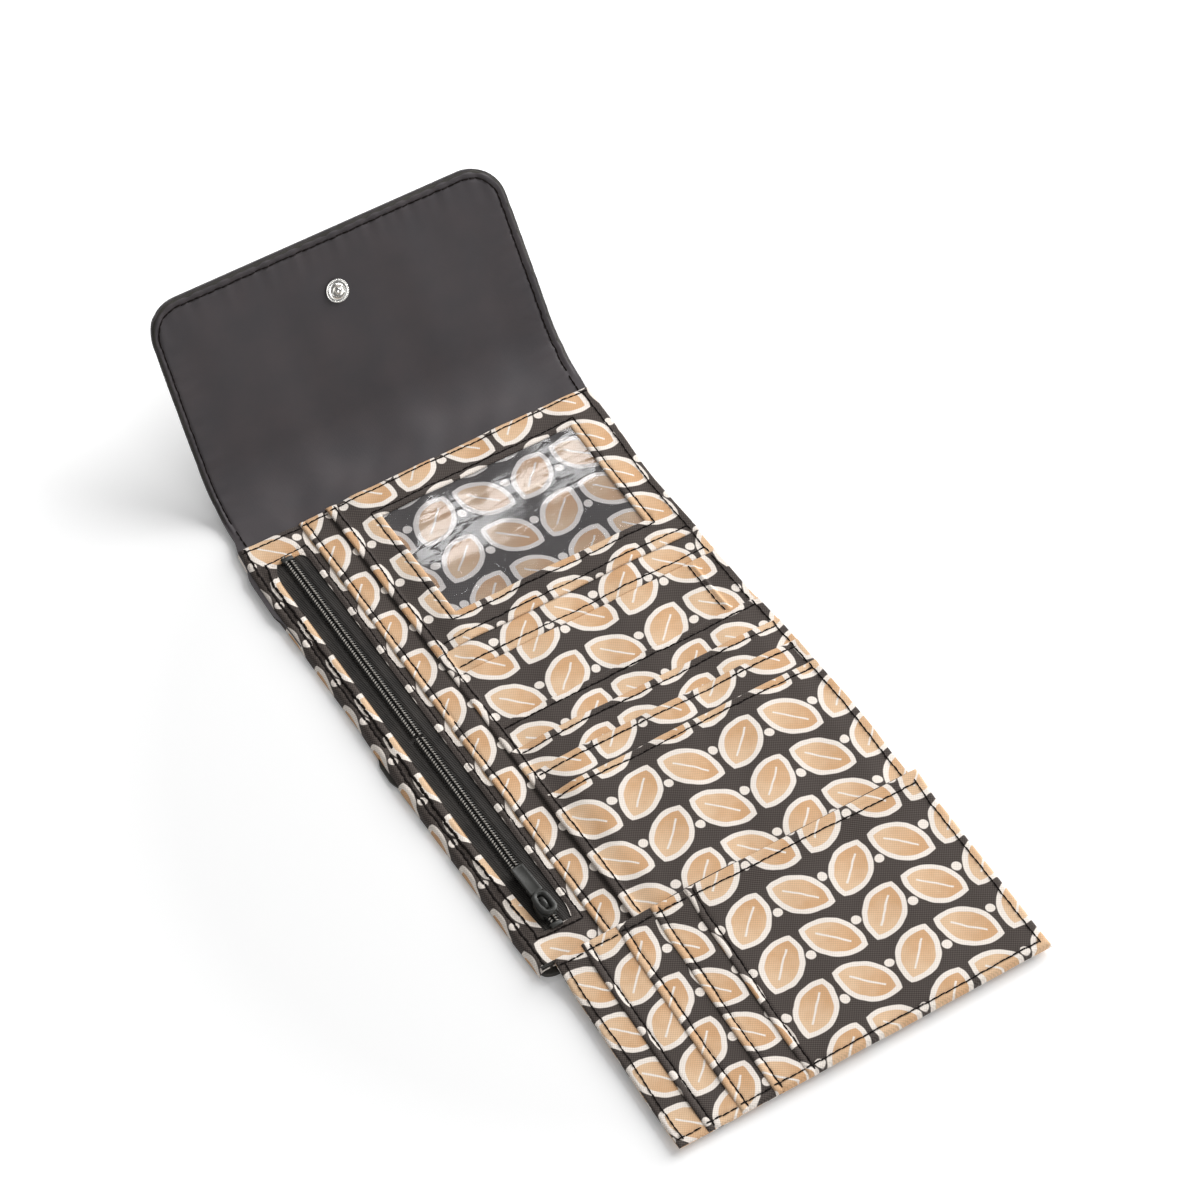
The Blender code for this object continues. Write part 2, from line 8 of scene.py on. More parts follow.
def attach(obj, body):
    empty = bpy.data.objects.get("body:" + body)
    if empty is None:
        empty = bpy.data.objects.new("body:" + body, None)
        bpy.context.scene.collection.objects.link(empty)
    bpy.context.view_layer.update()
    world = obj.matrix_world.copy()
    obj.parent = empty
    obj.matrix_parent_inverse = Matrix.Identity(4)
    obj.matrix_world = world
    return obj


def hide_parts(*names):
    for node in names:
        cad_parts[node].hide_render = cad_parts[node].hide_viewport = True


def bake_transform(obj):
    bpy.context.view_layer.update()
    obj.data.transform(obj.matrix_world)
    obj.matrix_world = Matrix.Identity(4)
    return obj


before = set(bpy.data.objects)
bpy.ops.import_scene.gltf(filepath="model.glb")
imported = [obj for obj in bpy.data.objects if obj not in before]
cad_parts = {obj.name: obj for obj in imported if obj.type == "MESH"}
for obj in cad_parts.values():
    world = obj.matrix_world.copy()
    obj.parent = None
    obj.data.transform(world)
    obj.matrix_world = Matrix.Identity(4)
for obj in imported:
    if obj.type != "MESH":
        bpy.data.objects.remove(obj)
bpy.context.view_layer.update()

# Everything below is laid out flat in millimetres first: x from the wallet's left edge, s from the flap's seam
# towards the tail (negative on the flap), h the height over the table. place() turns that into the object's frame.
wallet = dict(width=142.0, seamY=102.75, creaseS=-20.2, axisHeight=2.65, flapTilt=56.0, flapBend=14.0,
              flapEnd=-97.7, flapCorner=14.0, spineMiddle=102.75, foldS=204.0, tailEnd=206.0,
              seamCut=-10.1, midCut=47.0)
wide, half, corner = wallet["width"], wallet["width"] / 2, wallet["flapCorner"]
toMetres = Matrix.Diagonal((0.001, 0.001, 0.001, 1))

# how far the real, slightly stretched cloth stands off the straight outline, at places along the length
leftDrift = dict(at=(-97.7, -60, -22, -6, 0, 12, 30, 48, 85, 100, 118, 132, 150, 190, 206),
                 by=(0.9, 0.9, 1.2, 0.9, -1.0, -2.2, -2.7, -2.4, -2.4, -2.9, -3.5, -3.2, -2.9, -2.7, -2.3))
rightDrift = dict(at=(-97.7, -75, -50, -22, -6, 0, 8, 20, 30, 40, 50, 60, 72, 84, 96, 108, 116, 126, 150, 165, 180,
                      192, 206),
                  by=(0.5, 1.6, 2.4, 3.0, 1.8, 0.9, 0.6, 0.2, -0.4, -1.1, -1.5, -1.3, -0.8, -0.6, -0.2, 0.2, 1.0, 1.7,
                      2.0, 2.5, 2.4, 2.0, 2.0))


def smooth(value):
    value = np.clip(value, 0, 1)
    return value * value * (3 - 2 * value)


def ridge(value, at, width):  # a soft bump of height 1 round one place
    return np.exp(-((value - at) / width) ** 2)


def drift(x, s):
    x = x + np.interp(s, leftDrift["at"], leftDrift["by"]) * (1 - smooth(x / 5))
    return x + np.interp(s, rightDrift["at"], rightDrift["by"]) * smooth((x - 118) / 24)


def place(x, s, h):  # flat layout to metres in the object's frame, with the flap bent up round its crease
    x, s, h = np.broadcast_arrays(np.asarray(x, float), np.asarray(s, float), np.asarray(h, float))
    tilt, reach, axis = math.radians(wallet["flapTilt"]), wallet["flapBend"], wallet["axisHeight"]
    radius = reach / math.tan(tilt / 2)
    creaseY = wallet["seamY"] - wallet["creaseS"]
    past, above = wallet["creaseS"] - s, h - axis
    turn = np.clip((past + reach) / (2 * reach), 0, 1) * tilt
    bentY = creaseY - reach + (radius - above) * np.sin(turn)
    bentZ = axis + radius - (radius - above) * np.cos(turn)
    flapY = creaseY + past * math.cos(tilt) - above * math.sin(tilt)
    flapZ = axis + past * math.sin(tilt) + above * math.cos(tilt)
    y = np.where(past < -reach, creaseY + past, np.where(past < reach, bentY, flapY))
    z = np.where(past < -reach, h, np.where(past < reach, bentZ, flapZ))
    return np.stack([x - half, y, z], axis=-1) / 1000


# stage, camera and light: lamps are given by place and side in metres and by watts
view = dict(azimuth=32.333, elevation=52.01, roll=0.429, distance=1441.22, target=(25.78, 20.66, 0.0), lens=124.709)
stage = dict(world="#ffffff", worldLight=0.2, paper="#fbfbfb", paperSide=6.0, paperGrain=900.0, middle=(0, -0.03, 0),
             near=0.15, far=0.27, liftNear=0.11, liftFar=0.4, aim=(0, 0.02, 0.01),
             lamps=(("keySoftbox", (1.75, 0.3, 1.15), 1.7, 59.0), ("frontSoftbox", (-0.2, -2.2, 1.1), 1.6, 15.0),
                    ("backSoftbox", (0.74, 1.21, 1.74), 0.36, 5.0)))


def linear(hexText):  # sRGB hex to the linear colour that Blender works in
    parts = [int(hexText[i:i + 2], 16) / 255 for i in (1, 3, 5)]
    return tuple(p / 12.92 if p <= 0.04045 else ((p + 0.055) / 1.055) ** 2.4 for p in parts) + (1.0,)


def addNode(tree, kind, wires=None, **settings):  # a wire comes from a socket, from a node's first one, or is a value
    made = tree.nodes.new("ShaderNode" + kind)
    for key, value in settings.items():
        setattr(made, key, value)
    for slot, value in (wires or {}).items():
        value = value.outputs[0] if isinstance(value, bpy.types.Node) else value
        if isinstance(value, bpy.types.NodeSocket):
            tree.links.new(value, made.inputs[slot])
        else:
            made.inputs[slot].default_value = value
    return made


def newFinish(name):
    finish = bpy.data.materials.new(name)
    finish.use_nodes = True
    finish.node_tree.nodes.clear()
    return finish, finish.node_tree


def closeFinish(finish, shader):
    addNode(finish.node_tree, "OutputMaterial", {"Surface": shader})
    return finish


def seenDirectly(tree):  # 1 for what the camera sees, also through the clear vinyl, and 0 for the light on the object
    rays = addNode(tree, "LightPath")
    return addNode(tree, "Math", {0: rays.outputs["Is Camera Ray"], 1: rays.outputs["Is Transmission Ray"]},
                   operation="ADD", use_clamp=True)


def clearSelection():
    if bpy.context.object and bpy.context.object.mode != "OBJECT":
        bpy.ops.object.mode_set(mode="OBJECT")
    bpy.ops.object.select_all(action="DESELECT")


def setCamera():
    azimuth, elevation, roll = (math.radians(view[key]) for key in ("azimuth", "elevation", "roll"))
    towards = Vector((-math.sin(azimuth) * math.cos(elevation), -math.cos(azimuth) * math.cos(elevation),
                      math.sin(elevation)))
    right = Vector((math.cos(azimuth), -math.sin(azimuth), 0))
    up = towards.cross(right)
    turned = (right * math.cos(roll) + up * math.sin(roll), up * math.cos(roll) - right * math.sin(roll), towards)
    eye = (Vector(view["target"]) + towards * view["distance"]) / 1000
    clearSelection()
    bpy.ops.object.camera_add()
    camera = bpy.context.object
    camera.data.lens = view["lens"]
    camera.data.sensor_width = 36.0
    camera.data.clip_end = 50
    camera.matrix_world = Matrix.Translation(eye) @ Matrix(turned).transposed().to_4x4()
    bpy.context.scene.camera = camera


def setLight():
    for name, spot, side, power in stage["lamps"]:
        bpy.ops.object.light_add(type="AREA", location=spot)
        lamp = bpy.context.object
        lamp.name = name
        lamp.data.size = side
        lamp.data.energy = power
        lamp.rotation_euler = (Vector(stage["aim"]) - Vector(spot)).to_track_quat("-Z", "Y").to_euler()
    bpy.context.scene.view_settings.view_transform = "Standard"
    world = bpy.data.worlds.new("paleStudio")
    bpy.context.scene.world = world
    world.use_nodes = True
    tree = world.node_tree
    tree.nodes.clear()
    strength = addNode(tree, "MapRange", {"Value": seenDirectly(tree), "To Min": stage["worldLight"], "To Max": 1.0})
    sky = addNode(tree, "Background", {"Color": linear(stage["world"]), "Strength": strength})
    addNode(tree, "OutputWorld", {"Surface": sky})


def layPaper():
    # Matt uncoated paper: only a soft shadow shows on it. It turns to plain white further out.
    bpy.ops.mesh.primitive_plane_add(size=stage["paperSide"])
    floor = bpy.context.object
    floor.name = "seamlessPaper"
    finish, tree = newFinish("Seamless paper, matt")
    grain = addNode(tree, "TexNoise", {"Scale": stage["paperGrain"]})
    bump = addNode(tree, "Bump", {"Height": grain, "Strength": 0.1, "Distance": 0.0001})
    matt = addNode(tree, "BsdfDiffuse", {"Color": linear(stage["paper"]), "Normal": bump})
    spot = addNode(tree, "TexCoord")
    far = addNode(tree, "VectorMath", {0: spot.outputs["Object"], 1: stage["middle"]}, operation="DISTANCE")
    lift = addNode(tree, "MapRange", {"Value": far.outputs["Value"], "From Min": stage["near"],
                                     "From Max": stage["far"], "To Min": stage["liftNear"], "To Max": stage["liftFar"]})
    share = addNode(tree, "Math", {0: seenDirectly(tree), 1: lift}, operation="MULTIPLY")
    shine = addNode(tree, "Emission", {"Color": linear("#ffffff"), "Strength": share})
    floor.data.materials.append(closeFinish(finish, addNode(tree, "AddShader", {0: matt, 1: shine})))


setCamera()
setLight()
layPaper()
print("stage: camera, softboxes and paper")

# the generic print, in millimetres: a chevron of leaves, each with a vein, and dots between them
clothPrint = dict(cellAcross=20.0, cellDown=19.5, leafReach=12.7, leafOffset=5.3, outline=0.92, ribHalf=0.35,
                  ribReach=6.1, dotRadius=1.7, dotShift=1.9, ground="#3b3430", groundHigh="#5a514c", tanLight="#eac8a4",
                  tanDeep="#daad82", cream="#faf0e6", twillPitch=0.72, softEdge=0.12)


def clothLayout(tree):  # the cloth's own flat layout in millimetres
    cloth = addNode(tree, "UVMap", uv_map="cloth")
    return addNode(tree, "VectorMath", {0: cloth, 1: (100, 100, 100)}, operation="MULTIPLY")


def makePrintedTwill():
    # Cotton twill, rotary-screen printed with a plain leaf chevron: matt, ink slightly uneven, fine slanting rib.
    # The rib is really about 0.45 mm; it is drawn at 0.72 mm, the finest that shows at this distance.
    finish, tree = newFinish("Printed cotton twill")
    p = clothPrint
    flat = clothLayout(tree)
    creep = addNode(tree, "TexNoise", {"Vector": flat, "Scale": 0.16, "Detail": 1.0})
    creep = addNode(tree, "VectorMath", {0: creep.outputs["Color"], 1: (0.5, 0.5, 0.5)}, operation="SUBTRACT")
    creep = addNode(tree, "VectorMath", {0: creep, 1: (1.1, 1.1, 1.1), 2: flat}, operation="MULTIPLY_ADD")
    uneven, plain = (addNode(tree, "SeparateXYZ", {0: layout}).outputs for layout in (creep, flat))
    values = dict(x=uneven[0], y=uneven[1], xFlat=plain[0], yFlat=plain[1])
    steps = [("across", "DIVIDE", "x", p["cellAcross"]), ("down", "DIVIDE", "y", p["cellDown"]),
             ("column", "FLOOR", "across"), ("odd", "FLOORED_MODULO", "column", 2.0),
             ("flip", "MULTIPLY_ADD", "odd", -2.0, 1.0), ("acrossPart", "FRACT", "across"),
             ("downPart", "FRACT", "down"), ("u", "MULTIPLY_ADD", "acrossPart", p["cellAcross"], -p["cellAcross"] / 2),
             ("vFlat", "MULTIPLY_ADD", "downPart", p["cellDown"], -p["cellDown"] / 2),
             ("v", "MULTIPLY", "vFlat", "flip"),
             ("sum", "ADD", "u", "v"), ("along", "MULTIPLY", "sum", 0.70711), ("gap", "SUBTRACT", "v", "u"),
             ("aside", "MULTIPLY", "gap", 0.70711), ("asideSize", "ABSOLUTE", "aside"),
             ("asideFar", "ADD", "asideSize", p["leafOffset"]), ("alongSquare", "MULTIPLY", "along", "along"),
             ("farSquare", "MULTIPLY_ADD", "asideFar", "asideFar", "alongSquare"), ("root", "SQRT", "farSquare"),
             ("leaf", "SUBTRACT", "root", p["leafReach"]), ("inner", "ADD", "leaf", p["outline"]),
             ("innerSize", "ABSOLUTE", "inner"), ("line", "SUBTRACT", "innerSize", p["outline"]),
             ("alongSize", "ABSOLUTE", "along"), ("ribEnd", "SUBTRACT", "alongSize", p["ribReach"]),
             ("ribSide", "SUBTRACT", "asideSize", p["ribHalf"]), ("vein", "MAXIMUM", "ribEnd", "ribSide"),
             ("side", "SIGN", "u"), ("uSize", "ABSOLUTE", "u"), ("vTurned", "MULTIPLY", "v", "side"),
             ("dotU", "SUBTRACT", "uSize", p["cellAcross"] / 2), ("dotV", "ADD", "vTurned", p["dotShift"]),
             ("dotSquare", "MULTIPLY", "dotU", "dotU"), ("dotSum", "MULTIPLY_ADD", "dotV", "dotV", "dotSquare"),
             ("dotRoot", "SQRT", "dotSum"), ("dot", "SUBTRACT", "dotRoot", p["dotRadius"]),
             ("paleA", "MINIMUM", "line", "vein"), ("pale", "MINIMUM", "paleA", "dot"),
             ("rise", "MULTIPLY", "yFlat", 0.845), ("slant", "MULTIPLY_ADD", "xFlat", -0.534, "rise"),
             ("turns", "MULTIPLY", "slant", 2 * math.pi / p["twillPitch"]), ("rib", "SINE", "turns"),
             ("weftRise", "MULTIPLY", "yFlat", 0.62), ("weft", "MULTIPLY_ADD", "xFlat", 0.79, "weftRise"),
             ("weftTurns", "MULTIPLY", "weft", 2 * math.pi / p["twillPitch"]), ("cross", "SINE", "weftTurns"),
             ("twillFull", "MULTIPLY_ADD", "cross", 0.7, "rib"), ("twill", "MULTIPLY", "twillFull", 0.6)]
    for name, operation, *terms in steps:
        wires = {i: values.get(term, term) if isinstance(term, str) else term for i, term in enumerate(terms)}
        values[name] = addNode(tree, "Math", wires, operation=operation).outputs[0]
    fill, pale = (addNode(tree, "MapRange", {"Value": values[key], "From Min": p["softEdge"],
                                             "From Max": -p["softEdge"]}) for key in ("inner", "pale"))
    blotch = addNode(tree, "TexNoise", {"Vector": flat, "Scale": 0.22, "Detail": 3.0})
    shade = addNode(tree, "MapRange", {"Value": values["along"], "From Min": -7.0, "From Max": 7.0})
    shade = addNode(tree, "Math", {0: shade, 1: blotch}, operation="ADD")
    shade = addNode(tree, "MapRange", {"Value": shade, "From Min": 0.55, "From Max": 1.45})
    raised = addNode(tree, "MapRange", {"Value": values["twill"], "From Min": -0.8, "From Max": 0.9})
    tan, dark = (addNode(tree, "Mix", {0: part, 6: linear(p[low]), 7: linear(p[high])}, data_type="RGBA").outputs[2]
                 for part, low, high in ((shade, "tanLight", "tanDeep"), (raised, "ground", "groundHigh")))
    ink = addNode(tree, "Mix", {0: fill, 6: dark, 7: tan}, data_type="RGBA")
    ink = addNode(tree, "Mix", {0: pale, 6: ink.outputs[2], 7: linear(p["cream"])}, data_type="RGBA")
    tone = addNode(tree, "MapRange", {"Value": values["twill"], "From Min": -1.0, "To Min": 0.84, "To Max": 1.12})
    colour = addNode(tree, "VectorMath", {0: ink.outputs[2], 1: tone}, operation="MULTIPLY")
    fuzz = addNode(tree, "TexNoise", {"Vector": flat, "Scale": 2.4, "Detail": 3.0})
    high = addNode(tree, "Math", {0: values["twill"], 1: 0.5, 2: fuzz}, operation="MULTIPLY_ADD")
    bump = addNode(tree, "Bump", {"Height": high, "Strength": 0.35, "Distance": 0.00012})
    rough = addNode(tree, "MapRange", {"Value": fuzz, "To Min": 0.72, "To Max": 0.88})
    return closeFinish(finish, addNode(tree, "BsdfPrincipled", {
        "Base Color": colour, "Roughness": rough, "Specular IOR Level": 0.25, "Sheen Weight": 0.1,
        "Sheen Roughness": 0.5, "Normal": bump}))


def makeWovenCloth(name, base, worn, pitch, roughness, sheen, slant, bumpBy, threadTone=0.16):
    # Plain dyed cloth: two slightly different tones, a rib at the thread spacing given (mm) and a soft sheen.
    finish, tree = newFinish(name)
    flat = clothLayout(tree)
    turned = addNode(tree, "Mapping", {"Vector": flat, "Rotation": (0, 0, math.radians(slant))})
    split = addNode(tree, "SeparateXYZ", {0: turned}).outputs
    waves = []
    for axis, spacing in enumerate((pitch, pitch * 1.3)):
        wave = addNode(tree, "Math", {0: split[axis], 1: 2 * math.pi / spacing}, operation="MULTIPLY")
        waves.append(addNode(tree, "Math", {0: wave}, operation="SINE"))
    weave = addNode(tree, "Math", {0: waves[0], 1: waves[1]}, operation="MULTIPLY")
    cloud = addNode(tree, "TexNoise", {"Vector": flat, "Scale": 0.06, "Detail": 4.0})
    fuzz = addNode(tree, "TexNoise", {"Vector": flat, "Scale": 2.1, "Detail": 2.0})
    mixed = addNode(tree, "Math", {0: weave, 1: threadTone, 2: cloud}, operation="MULTIPLY_ADD")
    mixed = addNode(tree, "MapRange", {"Value": mixed, "From Min": 0.25, "From Max": 0.75})
    colour = addNode(tree, "Mix", {0: mixed, 6: linear(base), 7: linear(worn)}, data_type="RGBA")
    high = addNode(tree, "Math", {0: weave, 1: 0.6, 2: fuzz}, operation="MULTIPLY_ADD")
    bump = addNode(tree, "Bump", {"Height": high, "Strength": bumpBy, "Distance": 0.0001})
    rough = addNode(tree, "MapRange", {"Value": fuzz, "To Min": roughness - 0.05, "To Max": roughness + 0.07})
    return closeFinish(finish, addNode(tree, "BsdfPrincipled", {
        "Base Color": colour.outputs[2], "Roughness": rough, "Specular IOR Level": 0.35, "Sheen Weight": sheen,
        "Sheen Roughness": 0.4, "Normal": bump}))


def makeCoilFinish():
    # Moulded nylon filament: near-black. Two rows of pale colour, 0.95 mm off the middle, are painted highlights that
    # stand in for the glints on the coil's crowns.
    finish, tree = newFinish("Moulded nylon coil")
    spot = addNode(tree, "TexCoord").outputs["Object"]
    aside = addNode(tree, "SeparateXYZ", {0: spot})
    for off in ((zipParts["centre"] - half) / 1000, 0.00095):
        aside = addNode(tree, "Math", {0: aside, 1: off}, operation="SUBTRACT")
        aside = addNode(tree, "Math", {0: aside}, operation="ABSOLUTE")
    # painted highlights: a pale band along each row of crowns, broken up by fine noise
    crown = addNode(tree, "MapRange", {"Value": aside, "From Min": 0.00045, "From Max": 0.0002})
    fine = addNode(tree, "TexNoise", {"Vector": spot, "Scale": 1500.0, "Detail": 2.0})
    worn = addNode(tree, "Math", {0: crown, 1: fine}, operation="MULTIPLY")
    worn = addNode(tree, "Math", {0: worn, 1: 2.0}, operation="MULTIPLY", use_clamp=True)
    # the pale colour this mask mixes in is painted glint, not wear
    colour = addNode(tree, "Mix", {0: worn, 6: linear("#080706"), 7: linear("#b9b4ac")}, data_type="RGBA")
    rough = addNode(tree, "MapRange", {"Value": fine, "To Min": 0.2, "To Max": 0.35})
    bump = addNode(tree, "Bump", {"Height": fine, "Strength": 0.1, "Distance": 0.00005})
    return closeFinish(finish, addNode(tree, "BsdfPrincipled", {
        "Base Color": colour.outputs[2], "Roughness": rough, "Normal": bump}))


def makeHardFinish(name, base, worn, grit, metallic, roughness, bumpBy, shine=0.5):
    # Twisted, painted or plated: an even coat with a slight mottle of the given grain (mm) and soft highlights.
    finish, tree = newFinish(name)
    spot = addNode(tree, "TexCoord").outputs["Object"]
    cloud = addNode(tree, "TexNoise", {"Vector": spot, "Scale": 1000 / grit, "Detail": 3.0})
    fine = addNode(tree, "TexNoise", {"Vector": spot, "Scale": 4000 / grit, "Detail": 2.0})
    colour = addNode(tree, "Mix", {0: cloud, 6: linear(base), 7: linear(worn)}, data_type="RGBA")
    rough = addNode(tree, "MapRange", {"Value": fine, "From Min": 0.3, "From Max": 0.7, "To Min": roughness * 0.8,
                                       "To Max": roughness * 1.25})
    bump = addNode(tree, "Bump", {"Height": fine, "Strength": bumpBy, "Distance": 0.00005})
    return closeFinish(finish, addNode(tree, "BsdfPrincipled", {
        "Base Color": colour.outputs[2], "Roughness": rough, "Metallic": metallic, "Specular IOR Level": shine,
        "Normal": bump}))


def makeClearVinyl():
    # Calendered soft PVC, 0.15 mm: clear with a faint milky veil, and long soft creases that break up its gloss.
    finish, tree = newFinish("Clear soft vinyl")
    flat = clothLayout(tree)
    long = addNode(tree, "Mapping", {"Vector": flat, "Rotation": (0, 0, math.radians(38)), "Scale": (0.014, 0.09, 1.0)})
    crease = addNode(tree, "TexNoise", {"Vector": long, "Scale": 1.0, "Detail": 1.0, "Distortion": 0.5})
    small = addNode(tree, "TexNoise", {"Vector": flat, "Scale": 0.5, "Detail": 2.0})
    line = addNode(tree, "TexNoise", {"Vector": long, "Scale": 2.6, "Detail": 2.0, "Distortion": 1.0})
    line = addNode(tree, "Math", {0: line, 1: 0.5}, operation="SUBTRACT")
    line = addNode(tree, "Math", {0: line}, operation="ABSOLUTE")
    line = addNode(tree, "MapRange", {"Value": line, "From Max": 0.02, "To Min": 0.15, "To Max": 0.0})
    split = addNode(tree, "SeparateXYZ", {0: flat}).outputs
    off = addNode(tree, "Math", {0: split[0], 1: 0.18, 2: split[1]}, operation="MULTIPLY_ADD")
    off = addNode(tree, "Math", {0: off, 1: 42.0}, operation="SUBTRACT")  # off the crown of its slack, aslant
    crown = addNode(tree, "Math", {0: off, 1: off}, operation="MULTIPLY")
    crown = addNode(tree, "Math", {0: crown, 1: -0.0048}, operation="MULTIPLY")
    high = addNode(tree, "Math", {0: crease, 1: 0.7, 2: line}, operation="MULTIPLY_ADD")
    high = addNode(tree, "Math", {0: high, 1: crown}, operation="ADD")
    bump = addNode(tree, "Bump", {"Height": high, "Strength": 1.0, "Distance": 0.0005})
    rough = addNode(tree, "MapRange", {"Value": small, "To Min": 0.06, "To Max": 0.14})
    clear = addNode(tree, "BsdfTransparent", {"Color": linear("#f3f4f6")})
    veil = addNode(tree, "BsdfDiffuse", {"Color": linear("#eef0f6")})
    body = addNode(tree, "MixShader", {0: 0.045, 1: clear, 2: veil})
    gloss = addNode(tree, "BsdfGlossy", {"Roughness": rough, "Normal": bump})
    amount = addNode(tree, "Fresnel", {"IOR": 1.5, "Normal": bump})
    shader = addNode(tree, "MixShader", {0: amount, 1: body, 2: gloss})
    sides = addNode(tree, "NewGeometry")  # the far side of so thin a sheet neither mirrors nor clouds
    return closeFinish(finish, addNode(tree, "MixShader", {0: sides.outputs["Backfacing"], 1: shader, 2: clear}))


zipParts = dict(centre=12.0, tapeTop=3.3, coilBase=3.5, pitch=1.12, toothLong=2.5, toothThick=0.62, toothTilt=0.25)
finishes = dict(
    twill=makePrintedTwill(),
    cover=makeWovenCloth("Brushed polyester cover", "#32302c", "#474540", 0.7, 0.82, 0.3, 20, 0.4),  # soft and dull
    lining=makeWovenCloth("Satin lining", "#434043", "#4b4547", 0.55, 0.6, 0.15, 0, 0.15),  # smooth, quiet shine
    tape=makeWovenCloth("Woven zip tape", "#0c0b0a", "#3a3632", 0.95, 0.7, 0.05, 45, 1.0, 0.3),  # coarse, dark
    thread=makeHardFinish("Spun polyester thread", "#120d0b", "#211a17", 0.4, 0.0, 0.8, 0.3, 0.2),  # dull and twisted
    coil=makeCoilFinish(),
    paint=makeHardFinish("Baked enamel on zinc", "#2e2e2b", "#3a3a37", 0.6, 0.0, 0.4, 0.15),  # satin black enamel
    nickel=makeHardFinish("Nickel-plated brass", "#f6f5f2", "#e6e4df", 1.2, 1.0, 0.16, 0.05),  # bright plate
    vinyl=makeClearVinyl())
print("finishes:", len(finishes))


# shaping cloth
def softWave(x, s):  # the slow rise and fall that all layers share, still round the zip so that the slider runs free
    free = smooth((np.abs(x - 12) - 5) / 5)
    return free * (0.2 * np.sin(0.19 * x + 0.07 * s + 0.4) + 0.15 * np.sin(0.11 * x - 0.16 * s + 2.1)
                   + 0.07 * np.sin(0.43 * x + 0.29 * s + 1.0))


def pucker(along, inside, reach, seed):  # small gathers that a row of stitches pulls into the cloth beside it
    fade = np.exp(-np.abs(inside) / reach)
    return 0.09 * fade * (np.sin(along * 1.15 + seed) + 0.7 * np.sin(along * 0.71 + 2.3 * seed))


def foldedEdge(inside, stitch, lift=0.2):  # a turned hem: rolled at its edge, full, then held down by its stitches
    full = lift * ridge(inside, stitch * 0.45, stitch * 0.4) - 0.26 * ridge(inside, stitch, 0.5)
    roll = 0.32 * np.clip(1 - inside / 0.55, 0, 1) ** 2
    return np.where(inside > -0.01, full - roll, 0)


def edgeDrop(inside, width, drop):  # the last of the cloth turning down over the edge, a quarter of an ellipse
    part = np.clip(1 - inside / width, 0, 1)
    return -drop * (1 - np.sqrt(np.clip(1 - part * part, 0, 1)))


def meshLines(low, high, step, close=()):  # even lines with closer ones on both sides of each edge and each row
    kept = sorted(set([low, high] + [c for c in close if low < c < high]))
    near = [c + side * off for off in (0.3, 0.7, 1.2, 1.8) for c in list(kept) for side in (-1, 1)]
    even = np.linspace(low, high, max(2, int(round((high - low) / step)) + 1))
    for value in near + list(even):
        if low < value < high and min(abs(value - k) for k in kept) > 0.26:
            kept.append(value)
    return np.array(sorted(kept))


def readPoints(mesh):
    points = np.empty(len(mesh.vertices) * 3)
    mesh.vertices.foreach_get("co", points)
    return points.reshape(-1, 3)


def writePoints(mesh, points):
    mesh.vertices.foreach_set("co", np.asarray(points, dtype=np.float32).ravel())
    mesh.update()


def gapAround(hole, x, s):  # distance out from an opening
    dx = np.maximum(hole["left"] - x, x - hole["right"])
    ds = np.maximum(hole["start"] - s, s - hole["end"])
    return np.where((dx > 0) & (ds > 0), np.hypot(dx, ds), np.maximum(dx, ds))


def openHole(mesh, hole):
    bpy.ops.object.mode_set(mode="EDIT")
    bpy.ops.mesh.select_mode(type="FACE")
    bpy.ops.mesh.select_all(action="DESELECT")
    edit = bmesh.from_edit_mesh(mesh)
    for face in edit.faces:
        middle = face.calc_center_median()
        face.select_set(hole["left"] < middle.x < hole["right"] and hole["start"] < -middle.y < hole["end"])
    bmesh.update_edit_mesh(mesh)
    bpy.ops.mesh.delete(type="FACE")
    bpy.ops.object.mode_set(mode="OBJECT")


def clothPiece(name, xLines, sLines, top, thick=0.4, hole=None, printMove=(0, 0), outline=None, finish="twill",
               loose=True):
    clearSelection()
    bpy.ops.mesh.primitive_grid_add(x_subdivisions=len(xLines) - 1, y_subdivisions=len(sLines) - 1, size=2)
    piece = bpy.context.object
    mesh = piece.data
    piece.name = mesh.name = name
    points = readPoints(mesh)
    column = np.rint((points[:, 0] + 1) / 2 * (len(xLines) - 1)).astype(int)
    row = np.rint((1 - points[:, 1]) / 2 * (len(sLines) - 1)).astype(int)
    writePoints(mesh, np.stack([xLines[column], -sLines[row], np.zeros(len(row))], axis=-1))
    if hole:
        openHole(mesh, hole)
    wall = piece.modifiers.new("wall", "SOLIDIFY")  # 1 deep for now, which tells the two faces apart
    wall.thickness, wall.offset = 1.0, -1.0
    bpy.ops.object.modifier_apply(modifier=wall.name)
    points = readPoints(mesh)
    x, s, under = points[:, 0], -points[:, 1], points[:, 2] < -0.5
    if outline:
        x, s = outline(x, s)
    real = drift(x, s) if loose else x
    depth = thick(x, s) if callable(thick) else thick
    high = top(x, s)
    across, down = printMove(s) if callable(printMove) else printMove
    fallen = np.clip(np.median(high) - high - 0.8, 0, 9)  # the print runs on round a turned edge
    across = across + fallen * np.where(x < half, -0.8, 0.8) * (np.abs(x - half) > 66)
    flat = np.stack([(real + across) / 100, (s + down) / 100], axis=-1)
    turns = np.empty(len(mesh.loops), dtype=int)
    mesh.loops.foreach_get("vertex_index", turns)
    mesh.uv_layers[0].name = "cloth"
    mesh.uv_layers[0].data.foreach_set("uv", flat[turns].astype(np.float32).ravel())
    writePoints(mesh, place(real, s, np.where(under, high - depth, high)))
    bpy.ops.object.shade_smooth_by_angle(angle=math.radians(50))
    mesh.materials.clear()
    mesh.materials.append(finishes[finish])
    return piece


def joinPieces(first, *others):
    clearSelection()
    for piece in (first, *others):
        piece.select_set(True)
    bpy.context.view_layer.objects.active = first
    bpy.ops.object.join()
    return first


